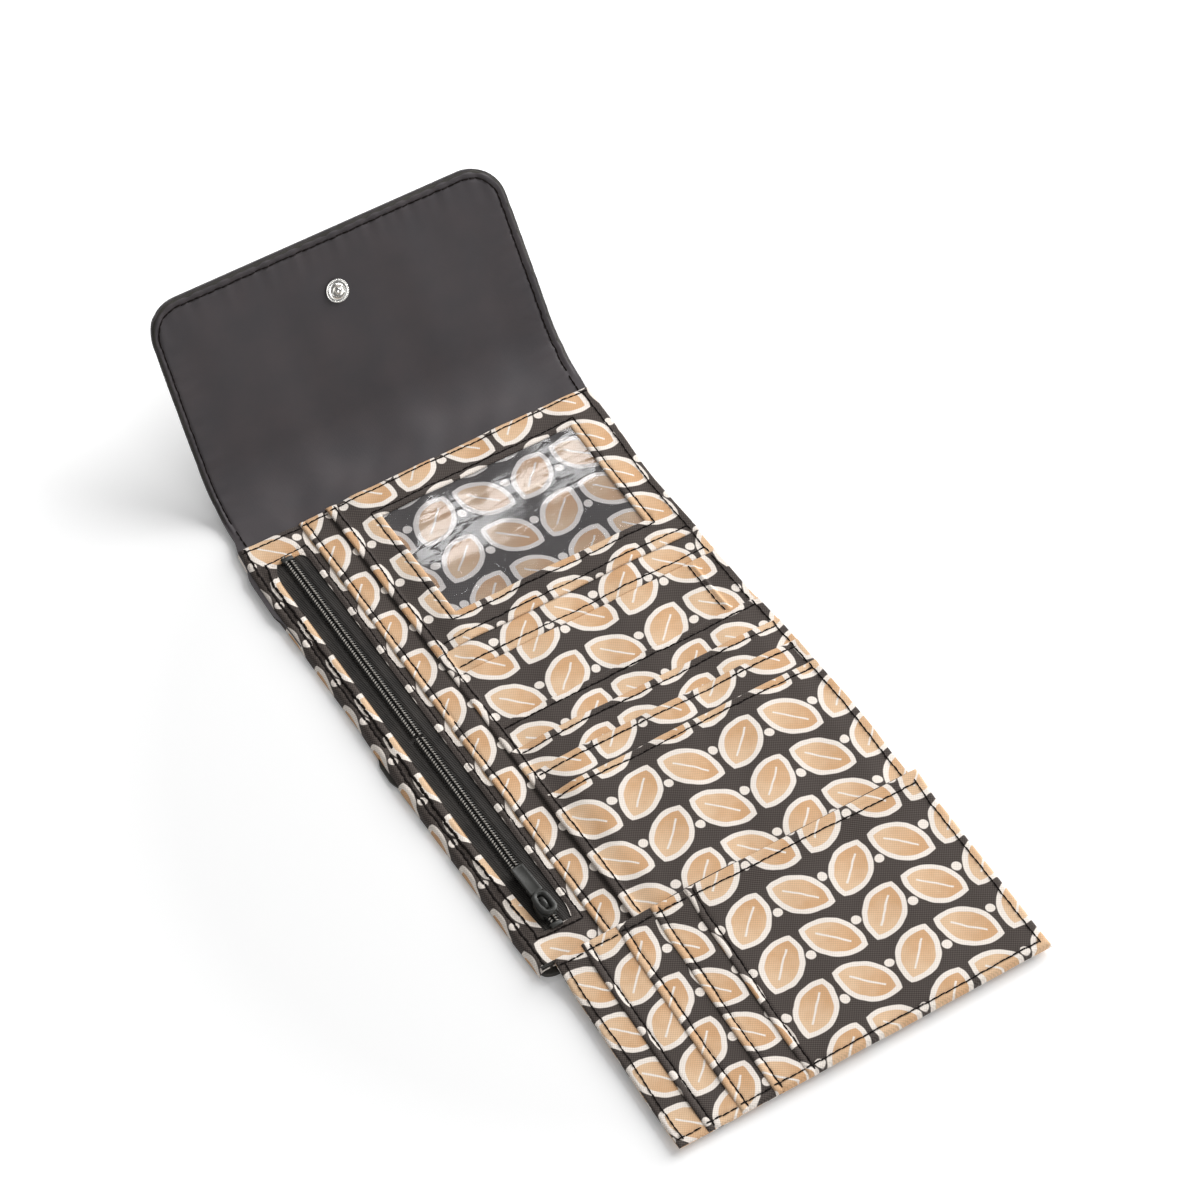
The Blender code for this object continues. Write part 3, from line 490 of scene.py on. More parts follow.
# where each stretch of cloth starts and ends, and the crease that it turns round: its two bodies, place and zone
spans = dict(Flap=(wallet["flapEnd"], wallet["seamCut"]), Seam=(wallet["seamCut"], wallet["midCut"]),
             Upper=(wallet["midCut"], wallet["spineMiddle"]), Lower=(wallet["spineMiddle"], wallet["tailEnd"]))
creases = dict(Flap=("flap", "flap_spine", wallet["creaseS"], 9.0), Seam=("flap_spine", "upper_half", 0.0, 4.0),
               Upper=("upper_half", "mid_spine", 94.5, 4.0), Lower=("mid_spine", "lower_half", 111.0, 4.0))
halves = (("Upper", 0.0, wallet["spineMiddle"]), ("Lower", wallet["spineMiddle"], wallet["foldS"]))


def follow(piece, part):
    before, after, crease, zone = creases[part]
    start, end = (place(half, crease + side * zone, wallet["axisHeight"]) for side in (-1, 1))
    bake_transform(piece)


def followLeaf(piece):
    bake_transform(piece)


def dress(piece, slot, *nodes, **sheet):  # hides the solids it stands for; what it is made of and its flat cut are not used
    if nodes:
        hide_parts(*nodes)


# padded cover, in four pieces that meet under the pockets
cover = dict(thick=2.0, quiltPitch=20.0, quiltDeep=0.75, edgeRoll=2.6, fill=0.4, peek=((7, 36, 1.2), (99, 117, 1.7)),
             tailRound=4.5, nodes=dict(Flap=("cover_flap", "cover_flap_spine"), Seam=(),
                                       Upper=("cover_upper", "cover_spine"), Lower=("cover_lower",)))


def quiltValley(x, s):  # 1 on the sewn diamonds' lines, 0 between them
    pitch = cover["quiltPitch"]
    first, second = (1 - np.abs((line / pitch) % 1 - 0.5) * 2 for line in (x + s, x - s))
    return ridge(np.minimum(first, second) * pitch / 2 / 1.414, 0, 1.9)


def coverInside(x, s):
    sideways = np.minimum(x, wide - x)
    lengthways = s - wallet["flapEnd"]
    both = (sideways < corner) & (lengthways < corner)
    cornered = corner - np.sqrt((corner - sideways) ** 2 + (corner - lengthways) ** 2)
    return np.where(both, cornered, np.minimum(sideways, lengthways))


def onFlap(s):  # 1 on the flap, 0 on the rest
    return smooth((-s - 4) / 14)


def flapWave(x, s):  # the flap hangs free, so its cloth undulates a little more, in long folds down its length
    loose = onFlap(s) * smooth((coverInside(x, s) - 3) / 16)
    return loose * (0.34 * np.sin(0.085 * x + 0.02 * s + 0.8) + 0.2 * np.sin(0.17 * x - 0.05 * s)
                    + 0.1 * np.sin(0.31 * x + 2))


def coverTop(x, s):
    inside = np.clip(coverInside(x, s), 0, 99)
    rim = 0.75 * ridge(inside, 1.3, 1.1) * onFlap(s)  # a full rolled rim round the flap
    return (cover["thick"] + softWave(x, s) * smooth((s + 24) / 14) + flapWave(x, s) + rim
            + edgeDrop(inside, cover["edgeRoll"], 0.85))


def coverThick(x, s):
    edge = -edgeDrop(np.clip(coverInside(x, s), 0, 99), cover["edgeRoll"], 0.75)
    return np.maximum(0.25, coverTop(x, s) - np.maximum(cover["quiltDeep"] * quiltValley(x, s), edge) - 0.02)


def coverOutline(x, s):  # rounds the flap's and the tail's corners and lets the cover peek out at the left
    near = np.clip(corner - (s - wallet["flapEnd"]), 0, corner)
    tailRound = cover["tailRound"]
    tail = np.clip(s - (wallet["tailEnd"] - tailRound), 0, tailRound)
    reach = half - corner + np.sqrt(corner ** 2 - near ** 2) - tailRound + np.sqrt(tailRound ** 2 - tail ** 2)
    x = half + (x - half) * reach / half
    for low, high, by in cover["peek"]:
        x = x - smooth((s - low) / 6) * smooth((high - s) / 6) * by * (1 - smooth(x / 14))
    return x, s


# closer lines where the flap's end is round
cornerLines = [wallet["flapEnd"] + corner * (1 - math.cos(math.radians(a)))
               for a in (8, 16, 24, 33, 42, 51, 60, 70, 80)]
coverLines = meshLines(0.5, wide - 0.3, 1.7)
for part, (low, high) in spans.items():
    close = cornerLines + [wallet["creaseS"] - 3, wallet["creaseS"] + 3] if part == "Flap" else ()
    piece = clothPiece("cover" + part, coverLines, meshLines(low, high, 1.7, close), coverTop, coverThick,
                       outline=coverOutline, finish="cover")
    dress(piece, "quilted_cover", *cover["nodes"][part])
    follow(piece, part)
print("cover: padded and quilted, four pieces")

# flap lining and the lining inside: each piece's flat size, how it is held and the solids it stands for
lining = dict(top=2.65, stitchIn=3.3, tailS=203.0,
              Flap=((0.1417, 0.0876), "stretched", "lining_flap", "lining_flap_spine"),
              Seam=((0.1417, 0.0571), "laid"), Upper=((0.1392, 0.05575), "laid", "lining_upper", "lining_spine"),
              Lower=((0.1392, 0.10025), "laid", "lining_lower"))


def liningTop(x, s):
    inside = np.clip(coverInside(x, s), 0, 99)
    along = np.where(s < wallet["flapEnd"] + corner, x, s)
    edge = (0.2 * smooth((3.0 - inside) / 1.5) - 0.32 * ridge(inside, lining["stitchIn"], 0.6)
            + 2.2 * pucker(along, inside - lining["stitchIn"], 4.5, 1.7) + edgeDrop(inside - 1.0, 0.8, 0.7))
    return lining["top"] + softWave(x, s) * smooth((s + 24) / 14) + flapWave(x, s) + edge * onFlap(s)


for part, (low, high) in spans.items():
    size, held, *nodes = lining[part]
    if part in ("Flap", "Seam"):
        close = cornerLines + [wallet["flapEnd"] + lining["stitchIn"]] if part == "Flap" else ()
        xLines = meshLines(0.15, wide - 0.15, 1.5, (lining["stitchIn"], wide - lining["stitchIn"]))
        piece = clothPiece("lining" + part, xLines, meshLines(low, high, 1.5, close), liningTop,
                           outline=coverOutline, finish="lining")
    else:
        piece = clothPiece("lining" + part, meshLines(1.4, wide - 1.4, 3.0),
                           meshLines(low, min(high, lining["tailS"]), 2.0), liningTop, finish="lining")
    dress(piece, "flap_lining", *nodes, flat=size, held=held)
    follow(piece, part)
print("lining: flap and inside")

# printed sheets that run over the mid spine: zip panel, slip pocket, column
tops = dict(panel=3.7, slip=4.15, column=4.6, rear=5.05, frame=5.95, slot1=5.05, slot2=5.5, slot3=5.95, slot4=6.4)
zipSlot = dict(left=5.0, right=19.0, start=12.2, end=190.8, stitchOut=2.4)
seamTurn = dict(over=0.6, width=1.7, level=2.75, sideWidth=0.9, sideLevel=1.0)
rightStitch = 139.4
printMoves = dict(panel=(0, 3), slip=(5.5, 9), column=(2, 0), rear=(6, 4), frame=(0, 8.5), slot1=(3, 1), slot2=(9, 7),
                  slot3=(1.5, 10), slot4=(7.5, 3.5), leafBack=(3, 3), leafFront=(0, 6),
                  leafSlot1=(6.5, 2), leafSlot2=(2.5, 8), leafSlot3=(8, 5), leafSlot4=(4.5, 0.5))


def tuckIn(top):  # lower layers turn down a little further in, so that the turned edges nest
    return (6.4 - top) * 0.1


def press(x):  # the rows of stitches press the layers together: 1 in the open cloth, less at a sewn fold
    return (0.45 + 0.55 * smooth((x - 38.5) / 9)) * (1 - 0.3 * smooth((x - 130) / 8))


def level(top, x):
    return tops["slip"] + (top - tops["slip"]) * press(x)


def thin(x, s):
    return 0.4 * press(x)


def turnDown(x, s, top, leftEdge=None):  # the outer edges, turned down over the layers below
    inset = tuckIn(top)
    drop = edgeDrop(s + seamTurn["over"] - inset, seamTurn["width"], top - seamTurn["level"])
    drop = np.minimum(drop, edgeDrop(wide - inset - x, seamTurn["sideWidth"], top - seamTurn["sideLevel"]))
    return drop if leftEdge is None else np.minimum(drop, edgeDrop(x - leftEdge, 1.7, top - 0.7))


def giveWay(x, at, by, width):  # the layers below give way where a folded edge lies over them
    return -by * ridge(x, at, width)


def slotOutline(x, s):  # the zip's opening narrows towards both ends
    left = np.interp(s, (9, 12.2, 14, 16.5, 20, 150, 176, 188, 190.8, 193),
                     (2.2, 3.0, 1.9, 0.9, 0.2, 0.2, 1.2, 2.2, 2.5, 1.5))
    right = np.interp(s, (9, 12.2, 13.4, 15.5, 186, 190.8, 193), (1.5, 2.0, 0.7, 0.1, 0.1, 1.2, 0.8))
    along = (s > 8.5) & (s < 193.5)
    x = x + np.where((x > 0.9) & (x < 5.6) & along, left * smooth((x - 0.9) / 4.1), 0)
    return x - np.where((x > 18.4) & (x < 23.0) & along, right * smooth((23.0 - x) / 4.0), 0), s


def panelTop(x, s):
    gap = gapAround(zipSlot, x, s)
    rows = foldedEdge(gap, zipSlot["stitchOut"], 0.3) * (gap < 6)
    border = -0.14 * ridge(x, 2.1, 0.4) * (s < 203)
    return (tops["panel"] + softWave(x, s) + rows + border + pucker(s, x - 2.5, 2.0, 0.3) + giveWay(x, 23.2, 0.2, 0.9)
            + giveWay(x, 34.0, 0.3, 1.1) + turnDown(x, s, tops["panel"], 0.0))


def slipTop(x, s):
    inside = x - 23.5
    lift = 0.28 * np.sin(s * 0.052 + 0.6) ** 2 * np.exp(-inside / 4)  # the open edge stands a little off the panel
    return (tops["slip"] + softWave(x, s) + foldedEdge(inside, 2.3) + lift + giveWay(x, 34.0, 0.3, 1.1)
            + pucker(s, inside - 2.3, 2.5, 1.1) + turnDown(x, s, tops["slip"]))


def columnTop(x, s):
    along = smooth((s - 88) / 3) * smooth((114 - s) / 3)  # the pleat that lets the right edge fold
    pleat = along * (0.55 * ridge(x, 130.4, 0.7) - 0.3 * smooth((x - 131) / 0.5) * smooth((139 - x) / 5))
    return level(tops["column"], x) + softWave(x, s) + turnDown(x, s, level(tops["column"], x)) + pleat


# the pile under the folded strip along the column: it climbs over each pocket in turn
pile = dict(at=(-1, 76.4, 78.0, 87.0, 88.8, 111.6, 113.2, 123.4, 125.0, 134.5, 136.1, 145.6, 147.2, 205),
            height=(6.0, 6.0, 5.1, 5.1, 4.65, 4.65, 5.1, 5.1, 5.55, 5.55, 6.0, 6.0, 6.45, 6.45),
            pockets=("frame", "rear", "column", "slot1", "slot2", "slot3", "slot4"),
            steps=(77.2, 87.9, 112.4, 124.2, 135.3, 146.2))


def pileTop(s):
    return tops["slip"] + (np.interp(s, pile["at"], pile["height"]) - tops["slip"]) * 0.45 + 0.3


def stripTop(x, s):
    inside = x - 34.4
    seam = edgeDrop(s + seamTurn["over"], seamTurn["width"], pileTop(s) - seamTurn["level"])
    body = 0.12 * ridge(inside, 1.3, 0.9) - 0.14 * ridge(inside, 2.9, 0.4) - 0.3 * np.clip((inside - 3.2) / 0.6, 0, 1)
    return (pileTop(s) + softWave(x, s) + np.minimum(edgeDrop(inside, 0.5, 0.32), seam) + body
            + pucker(s, inside - 2.9, 2.0, 2.9) * 0.6)


def stripPrint(s):  # the folded strip is cut in one with the pocket beside it, so the print runs on
    moves = np.array([printMoves[key] for key in pile["pockets"]])[np.searchsorted(pile["steps"], s)]
    return moves[:, 0], moves[:, 1]


def rimLines(hole, out):  # the lines of an opening's edges and of the stitches round it
    return ([hole["left"], hole["left"] - out, hole["right"], hole["right"] + out],
            [hole["start"], hole["start"] - out, hole["end"], hole["end"] + out])


longCuts = dict(
    zipPanelUpper=(("zip_panel_upper", "zip_panel_spine", "zip_border_spine"),
                   dict(flat=(0.142, 0.103), held="stretched", area=0.142 * 0.103 - 0.014 * 0.0905)),
    zipPanelLower=(("zip_panel_lower",),
                   dict(flat=(0.142, 0.101), held="stretched", area=0.142 * 0.101 - 0.014 * 0.0880)),
    slipPocketUpper=(("slip_pocket_upper", "slip_pocket_spine"), dict(flat=(0.118, 0.103), held="laid")),
    slipPocketLower=(("slip_pocket_lower",), dict(flat=(0.118, 0.101), held="laid")),
    cardColumnUpper=(("column_upper", "column_spine"), dict(flat=(0.110, 0.103), held="laid")),
    cardColumnLower=(("column_lower",), dict(flat=(0.110, 0.101), held="laid")))
slotX, slotS = rimLines(zipSlot, zipSlot["stitchOut"])
longForms = (("zipPanel", "panel", 0.0, slotX + [0.9], slotS + [13.3, 14.5, 16], panelTop,
              dict(hole=zipSlot, outline=slotOutline)),
             ("slipPocket", "slip", 23.5, [25.8, 33, 34, 35], [], slipTop, {}),
             ("cardColumn", "column", 35.2, [37.9, 129, 131, 139], [88.5], columnTop, dict(thick=thin)))
longSheets = {}
for part, low, high in halves:
    for name, key, left, closeX, closeS, top, more in longForms:
        start = tuckIn(tops[key]) - seamTurn["over"] if part == "Upper" else low
        piece = clothPiece(name + part, meshLines(left, wide - tuckIn(tops[key]), 1.6, closeX),
                           meshLines(start, high, 1.6, closeS), top, printMove=printMoves[key], **more)
        if name == "cardColumn":  # with the strip that is folded over its pockets' ends
            start = -seamTurn["over"] if part == "Upper" else low
            piece = joinPieces(piece, clothPiece("columnStrip", meshLines(34.4, 38.4, 0.5, [37.3]),
                                                 meshLines(start, high, 1.3, pile["at"]), stripTop,
                                                 printMove=stripPrint))
        follow(piece, part)
        longSheets[name + part] = piece
for name, (nodes, sheet) in longCuts.items():
    dress(longSheets[name], "printed_twill", *nodes, **sheet)
print("long sheets: zip panel, slip pocket, card column")

# pockets of the upper half, and the window
window = dict(left=49.4, right=126.8, start=13.6, end=63.9, lap=3.0, top=5.45, stitchOut=2.7)
pockets = dict(left=35.4, rearEnd=87.5, rearStitch=84.7, frameEnd=76.9, frameStitch=73.5)


def rearTop(x, s):
    inside = pockets["rearEnd"] - s
    high = level(tops["rear"], x)
    return (high + softWave(x, s) + foldedEdge(inside, 2.8, 0.14) + pucker(x, inside - 2.8, 2.5, 0.9)
            + turnDown(x, s, high))


def frameTop(x, s):
    inside, gap = pockets["frameEnd"] - s, gapAround(window, x, s)
    high = level(tops["frame"], x)
    return (high + softWave(x, s) + foldedEdge(inside, 3.4, 0.14)
            + foldedEdge(gap, window["stitchOut"], 0.16) * (gap < 6)
            + pucker(x, inside - 3.4, 2.5, 2.2) + pucker(x + s, gap - window["stitchOut"], 2.2, 3.1)
            + turnDown(x, s, high))


def vinylTop(x, s):
    slack = smooth(-gapAround(window, x, s) / 12)
    return window["top"] + softWave(x, s) * (1 - 0.6 * slack) + slack * 0.1 * np.sin(0.13 * (x + 0.8 * s))


def makePocket(name, key, end, closeX, closeS, top, hole=None):
    tuck = tuckIn(tops[key])
    return clothPiece(name, meshLines(pockets["left"], wide - tuck, 1.6, closeX),
                      meshLines(tuck - seamTurn["over"], end, 1.6, closeS), top, thin, hole=hole,
                      printMove=printMoves[key])


windowX, windowS = rimLines(window, window["stitchOut"])
rearPocket = makePocket("rearPocket", "rear", pockets["rearEnd"], [rightStitch], [pockets["rearStitch"]], rearTop)
idFrame = makePocket("idFrame", "frame", pockets["frameEnd"], windowX, windowS + [pockets["frameStitch"]], frameTop,
                     hole=window)
idWindow = clothPiece("idWindow", meshLines(window["left"] - window["lap"], window["right"] + window["lap"], 1.8),
                      meshLines(window["start"] - window["lap"], window["end"] + window["lap"], 1.8), vinylTop,
                      thick=0.15, finish="vinyl")
dress(rearPocket, "printed_twill", "rear_pocket", flat=(0.107, 0.0885), held="laid")
dress(idWindow, "clear_vinyl", "id_window", flat=(0.0834, 0.0563), held="stretched")
dress(idFrame, "printed_twill", "id_frame", flat=(0.107, 0.0785), held="stretched",
      area=0.107 * 0.0785 - 0.0774 * 0.0503)
for piece in (rearPocket, idWindow, idFrame):
    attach(piece, "upper_half")
print("upper half: rear pocket, framed window, vinyl")

# stepped card slots of the lower half
cardSlots = dict(edges=(112.3, 124.0, 135.1, 146.0), stitchIn=2.6, foot=203.0)


def makeCardSlot(number, edge):
    key = "slot%d" % number
    tuck = tuckIn(tops[key])

    def slotTop(x, s):
        inside = s - edge
        high = level(tops[key], x)
        side = edgeDrop(wide - tuck - x, seamTurn["sideWidth"], high - seamTurn["sideLevel"])
        return (high + softWave(x, s) + foldedEdge(inside, cardSlots["stitchIn"], 0.14)
                + pucker(x, inside - cardSlots["stitchIn"], 2.4, number - 0.6) + np.minimum(0, side))

    piece = clothPiece("cardSlot%d" % number, meshLines(pockets["left"], wide - tuck, 1.6, [rightStitch]),
                       meshLines(edge, cardSlots["foot"] - 0.2 * (5 - number), 1.6, [edge + cardSlots["stitchIn"]]),
                       slotTop, thin, printMove=printMoves[key])
    if number == 1:  # the first slot's edge lies next to the crease
        follow(piece, "Lower")
    else:
        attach(piece, "lower_half")
    dress(piece, "printed_twill", "card_slot_%d" % number, flat=(0.107, (wallet["foldS"] - edge) / 1000), held="laid")


for index, edge in enumerate(cardSlots["edges"]):
    makeCardSlot(index + 1, edge)
print("lower half: four stepped card slots")

# the card leaf at the tail
leaf = dict(left=3.0, right=145.4, start=203.3, end=282.2, liftAt=203.4, liftLength=13.0, lift=2.4, rise=2.0, slope=0.8,
            stitchIn=2.7, endStitch=2.9, slots=(13.4, 26.6, 39.8, 52.9), tops=(0.8, 1.2, 1.6, 2.0, 2.4, 2.8),
            leans=(-1.2, -0.7, -1.1, -1.6, -2.2))


def leafLift(s):  # raised at the fold; the stiff leaf then slopes down and stays a little off the table
    rise = leaf["rise"] + leaf["slope"] * np.clip(1 - (s - leaf["liftAt"]) / 70, 0, 1)
    return leaf["lift"] * (1 - smooth((s - leaf["liftAt"]) / leaf["liftLength"])) + rise


def leafBase(top, x, s):
    return top + leafLift(s) + 0.6 * softWave(x, s) * smooth((s - 206) / 12)


def leanBy(index, x, s):  # the leaf was sewn on a little askew, each slot's edge a little more than the one before
    side = leaf["leans"][index] * (s - 203.0) / 78.0 * smooth((leaf["right"] - x) / 30)
    return side - 0.9 * smooth((s - 205) / 75) + 0.3


def openRim(inside, s, top):  # a slot's open edge, sewn down at both ends and standing a little off between them
    stand = (0.1 + 0.3 * np.sin(0.045 * s + top) ** 2) * np.exp(-np.abs(inside) / 3.5)
    return foldedEdge(inside, leaf["stitchIn"]) + stand * smooth((s - 206) / 6) * smooth((278 - s) / 6)


def makeLeafSheet(name, node, layer, left, start=leaf["start"], thick=0.4, slot=0):
    top = leaf["tops"][layer]
    inset = (leaf["tops"][-1] - top) * 0.1
    end, fall = leaf["end"] - inset, max(0.2, top - 0.75)

    def sheetTop(x, s):
        across = x - leanBy(slot, x, s)
        inside, fromEnd = across - left, end - s
        edges = [edgeDrop(fromEnd, 1.2, fall), edgeDrop(leaf["right"] - across, 1.3, fall),
                 edgeDrop(s - start, 0.9, 0.3)]
        seam = -0.22 * ridge(fromEnd, leaf["endStitch"], 0.5) - 0.2 * ridge(s, 206.0, 0.5)
        side = openRim(inside, s, top) if slot else edgeDrop(inside, 1.2, fall)
        return (leafBase(top, x, s) + seam + side + np.minimum.reduce(edges)
                + pucker(x, fromEnd - leaf["endStitch"], 2.2, top))

    piece = clothPiece(name, meshLines(left, leaf["right"] - inset, 1.6, [left + leaf["stitchIn"]]),
                       meshLines(start, end, 1.6, [206.0, end - leaf["endStitch"]]), sheetTop, thick=thick,
                       printMove=printMoves[name], outline=lambda x, s: (x + leanBy(slot, x, s), s), loose=False)
    followLeaf(piece)
    dress(piece, "printed_twill", node, flat=((leaf["right"] - left) / 1000, (end - start) / 1000), held="folded")


makeLeafSheet("leafBack", "tail_back", 0, leaf["left"], start=204.2, thick=0.7)
makeLeafSheet("leafFront", "tail_front", 1, leaf["left"])
for index, left in enumerate(leaf["slots"]):
    makeLeafSheet("leafSlot%d" % (index + 1), "tail_slot_%d" % (index + 1), index + 2, left, slot=index + 1)


def beadTop(x, s):  # the bound edge along the fold, a narrow dark roll between the lower half and the leaf: partly a real dark edge, partly painted shade that stands in for the shadow in the gap under the leaf's fold
    across = (s - 203.1) / 0.65
    base = np.interp(x, (1, 22, 26, 33, 38, 50, 142), (4.3, 4.6, 4.9, 5.1, 5.6, 6.5, 6.4))
    return base + 0.35 * np.sqrt(np.clip(1 - across * across, 0, 1)) + softWave(x, 203.0)


# painted shade: this dark roll is partly a real bound edge and partly stands in for the shadow between the lower half
# and the leaf
bindingShadeStrip = clothPiece("foldBindingShadeStrip", meshLines(1.0, wide, 1.6), np.linspace(202.45, 203.75, 7), beadTop, thick=0.8,
                     finish="tape")
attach(bindingShadeStrip, "lower_half")
dress(bindingShadeStrip, "quilted_cover")
print("card leaf: back, front, four slots, bound fold")


# rows of stitches
thread = dict(pitch=2.7, length=2.75, radius=0.27, rise=0.15, wander=0.16)


def modelRod(sides, cutAt, squeeze, drop=0.0):  # a short round rod, its ends drawn in; unit length along x
    clearSelection()
    bpy.ops.mesh.primitive_cylinder_add(vertices=sides, radius=0.5, depth=1.0, rotation=(0, math.pi / 2, 0))
    rod = bpy.context.object
    bpy.ops.object.transform_apply(location=False, rotation=True, scale=False)
    bpy.ops.object.mode_set(mode="EDIT")
    for cut in (-cutAt, 0.0, cutAt):
        bpy.ops.mesh.select_all(action="SELECT")
        bpy.ops.mesh.bisect(plane_co=(cut, 0, 0), plane_no=(1, 0, 0))
    for end in (-1, 1):
        bpy.ops.mesh.select_all(action="DESELECT")
        edit = bmesh.from_edit_mesh(rod.data)
        for vertex in edit.verts:
            vertex.select_set(vertex.co.x * end > 0.45)
        edit.select_flush_mode()
        bmesh.update_edit_mesh(rod.data)
        bpy.ops.transform.resize(value=(1, squeeze, squeeze), center_override=(0.5 * end, 0, 0))
        if drop:
            bpy.ops.transform.translate(value=(0, 0, -drop))
    bpy.ops.object.mode_set(mode="OBJECT")
    points = readPoints(rod.data)
    faces = [tuple(face.vertices) for face in rod.data.polygons]
    bpy.data.objects.remove(rod, do_unlink=True)
    return points, faces


def startMesh(name, points, edges, faces):
    mesh = bpy.data.meshes.new(name)
    mesh.from_pydata(points, edges, faces)
    piece = bpy.data.objects.new(name, mesh)
    bpy.context.collection.objects.link(piece)
    clearSelection()
    piece.select_set(True)
    bpy.context.view_layer.objects.active = piece
    bpy.ops.object.mode_set(mode="EDIT")
    bpy.ops.mesh.select_all(action="SELECT")
    return piece


def joinCopies(name, copies, faces, finish):  # many copies of one small shape as one mesh
    size = copies.shape[1]
    allFaces = [tuple(v + copy * size for v in face) for copy in range(len(copies)) for face in faces]
    piece = startMesh(name, copies.reshape(-1, 3).tolist(), [], allFaces)
    bpy.ops.mesh.normals_make_consistent(inside=False)
    bpy.ops.object.mode_set(mode="OBJECT")
    bpy.ops.object.shade_smooth()
    piece.data.materials.append(finishes[finish])
    return piece


def walkPath(path, pitch):  # middles and headings of stitches along a line of flat points
    path = np.asarray(path, float)
    travel = np.concatenate([[0], np.cumsum(np.hypot(*np.diff(path, axis=0).T))])
    count = max(1, int(round(travel[-1] / pitch)))
    spots = (np.arange(count) + 0.5) * travel[-1] / count
    middle, ahead, behind = (np.stack([np.interp(spots + off, travel, path[:, i]) for i in (0, 1)], axis=-1)
                             for off in (0, 0.4, -0.4))
    heading = ahead - behind
    return middle, heading / np.hypot(heading[:, 0], heading[:, 1])[:, None]


stitchShape = modelRod(6, 0.25, 0.7)


def sewRows(name, rows, size=thread, still=False):  # stitches laid on the cloth, each row a path and its surface
    points, faces = stitchShape
    copies = []
    for row, (path, surface) in enumerate(rows):
        middle, heading = walkPath(path, size["pitch"])
        order = np.arange(len(middle))
        wander = size["wander"] * (np.sin(order * 2.1 + row) + np.sin(order * 0.37 + 2 * row)) / 2
        aside = np.stack([-heading[:, 1], heading[:, 0]], axis=-1)
        middle = middle + aside * wander[:, None]
        direction = heading + aside * (0.05 * np.sin(order * 1.7 + row * 3))[:, None]
        along = points[None, :, 0:1] * size["length"]
        across = points[None, :, 1:2] * 2 * size["radius"]
        flat = middle[:, None, :] + direction[:, None, :] * along + aside[:, None, :] * across
        x, s = flat[..., 0], flat[..., 1]
        arch = 0.05 + size["rise"] * (1 - (2 * points[None, :, 0]) ** 2 * 1.5)
        high = surface(x, s) + points[None, :, 2] * 2 * size["radius"] + arch
        copies.append(place(x if still else drift(x, s), s, high))
    return joinCopies(name, np.concatenate(copies), faces, "thread")


def straight(x0, s0, x1, s1, phase=0.0, step=3.0, sway=0.18):  # a sewn line: nearly straight
    length = math.hypot(x1 - x0, s1 - s0)
    part = np.linspace(0, 1, max(2, int(length / step)) + 1)
    off = sway * np.sin(part * length * 0.11 + phase) * np.sin(np.pi * part)
    nx, ns = -(s1 - s0) / length, (x1 - x0) / length
    return np.stack([x0 + (x1 - x0) * part + nx * off, s0 + (s1 - s0) * part + ns * off], axis=-1)


def sewn(surface, *lines):
    return [(straight(*line), surface) for line in lines]


# the rows along the wallet's length are cut at the middle; the one left of the zip follows the opening's outline
besideZip = np.stack(slotOutline(*straight(3.1, 10.2, 3.1, 192.6, 1).T), axis=-1)
lengthRows = (sewn(panelTop, (2.1, 0.5, 2.1, 202.5)) + [(besideZip, panelTop)]
              + sewn(panelTop, (21.1, 10.0, 21.1, 192.6, 2)) + sewn(slipTop, (25.8, 1, 25.8, 202, 3))
              + sewn(stripTop, (37.3, 1, 37.3, 202, 4)))
upperRows = [(path[path[:, 1] <= wallet["spineMiddle"]], surface) for path, surface in lengthRows]
upperRows += (sewn(panelTop, (4.5, 10.9, 21.1, 9.7), (1, 2.1, 23, 1.9)) + sewn(slipTop, (24, 1.9, 34, 1.9))
              + sewn(stripTop, (34.8, 2.0, 38.2, 2.0))
              + sewn(frameTop, (38.4, 2.0, 140.5, 2.0, 1), (39, 73.5, 139, 73.5, 2))
              + sewn(rearTop, (39, 84.7, 139, 84.7, 3))
              + sewn(frameTop, (46.7, 10.9, 129.5, 10.9), (46.7, 66.6, 129.5, 66.6, 2), (46.7, 10.9, 46.7, 66.6),
                     (129.5, 10.9, 129.5, 66.6), (138.7, 2, 138.7, 76))
              + sewn(rearTop, (138.7, 77.5, 138.7, 87))
              + sewn(columnTop, (138.7, 88.5, 138.7, 102.7), (129.0, 88.5, 129.0, 102.7)))
lowerRows = [(path[path[:, 1] > wallet["spineMiddle"]], surface) for path, surface in lengthRows]
lowerRows += sewn(panelTop, (4.2, 192.6, 21.1, 192.9)) + sewn(columnTop, (138.7, 102.8, 138.7, 111.8),
                                                              (129.0, 102.8, 129.0, 111.8))
slotEdges = cardSlots["edges"] + (cardSlots["foot"],)
for index, edge in enumerate(cardSlots["edges"]):
    def slotSurface(x, s, edge=edge, top=tops["slot%d" % (index + 1)]):
        return level(top, x) + softWave(x, s) + foldedEdge(s - edge, cardSlots["stitchIn"], 0.14)

    row = edge + cardSlots["stitchIn"]
    lowerRows += sewn(slotSurface, (37.6, row, 139.0, row, index),
                      (138.7, edge + 0.5, 138.7, slotEdges[index + 1] - 0.4, index))


def flapStitchPath(inset):
    bend = corner - inset
    left, right, end = inset, wide - inset, wallet["flapEnd"] + inset
    quarter = np.linspace(0, math.pi / 2, 9)
    path = [(left, s) for s in np.arange(-1.0, end + bend, -4.0)]
    path += [(left + bend - bend * math.cos(a), end + bend - bend * math.sin(a)) for a in quarter]
    path += [(x, end) for x in np.arange(left + bend + 4, right - bend, 4.0)]
    path += [(right - bend + bend * math.sin(a), end + bend - bend * math.cos(a)) for a in quarter]
    path += [(right, s) for s in np.arange(end + bend + 4, -1.0, 4.0)]
    return np.array(path)


def leafSurface(index):
    left, top = ((leaf["left"],) * 2 + leaf["slots"])[index], leaf["tops"][index]

    def surface(x, s):
        return leafBase(top, x, s) + (openRim(x - leanBy(index - 1, x, s) - left, s, top) if index > 1 else 0)
    return surface


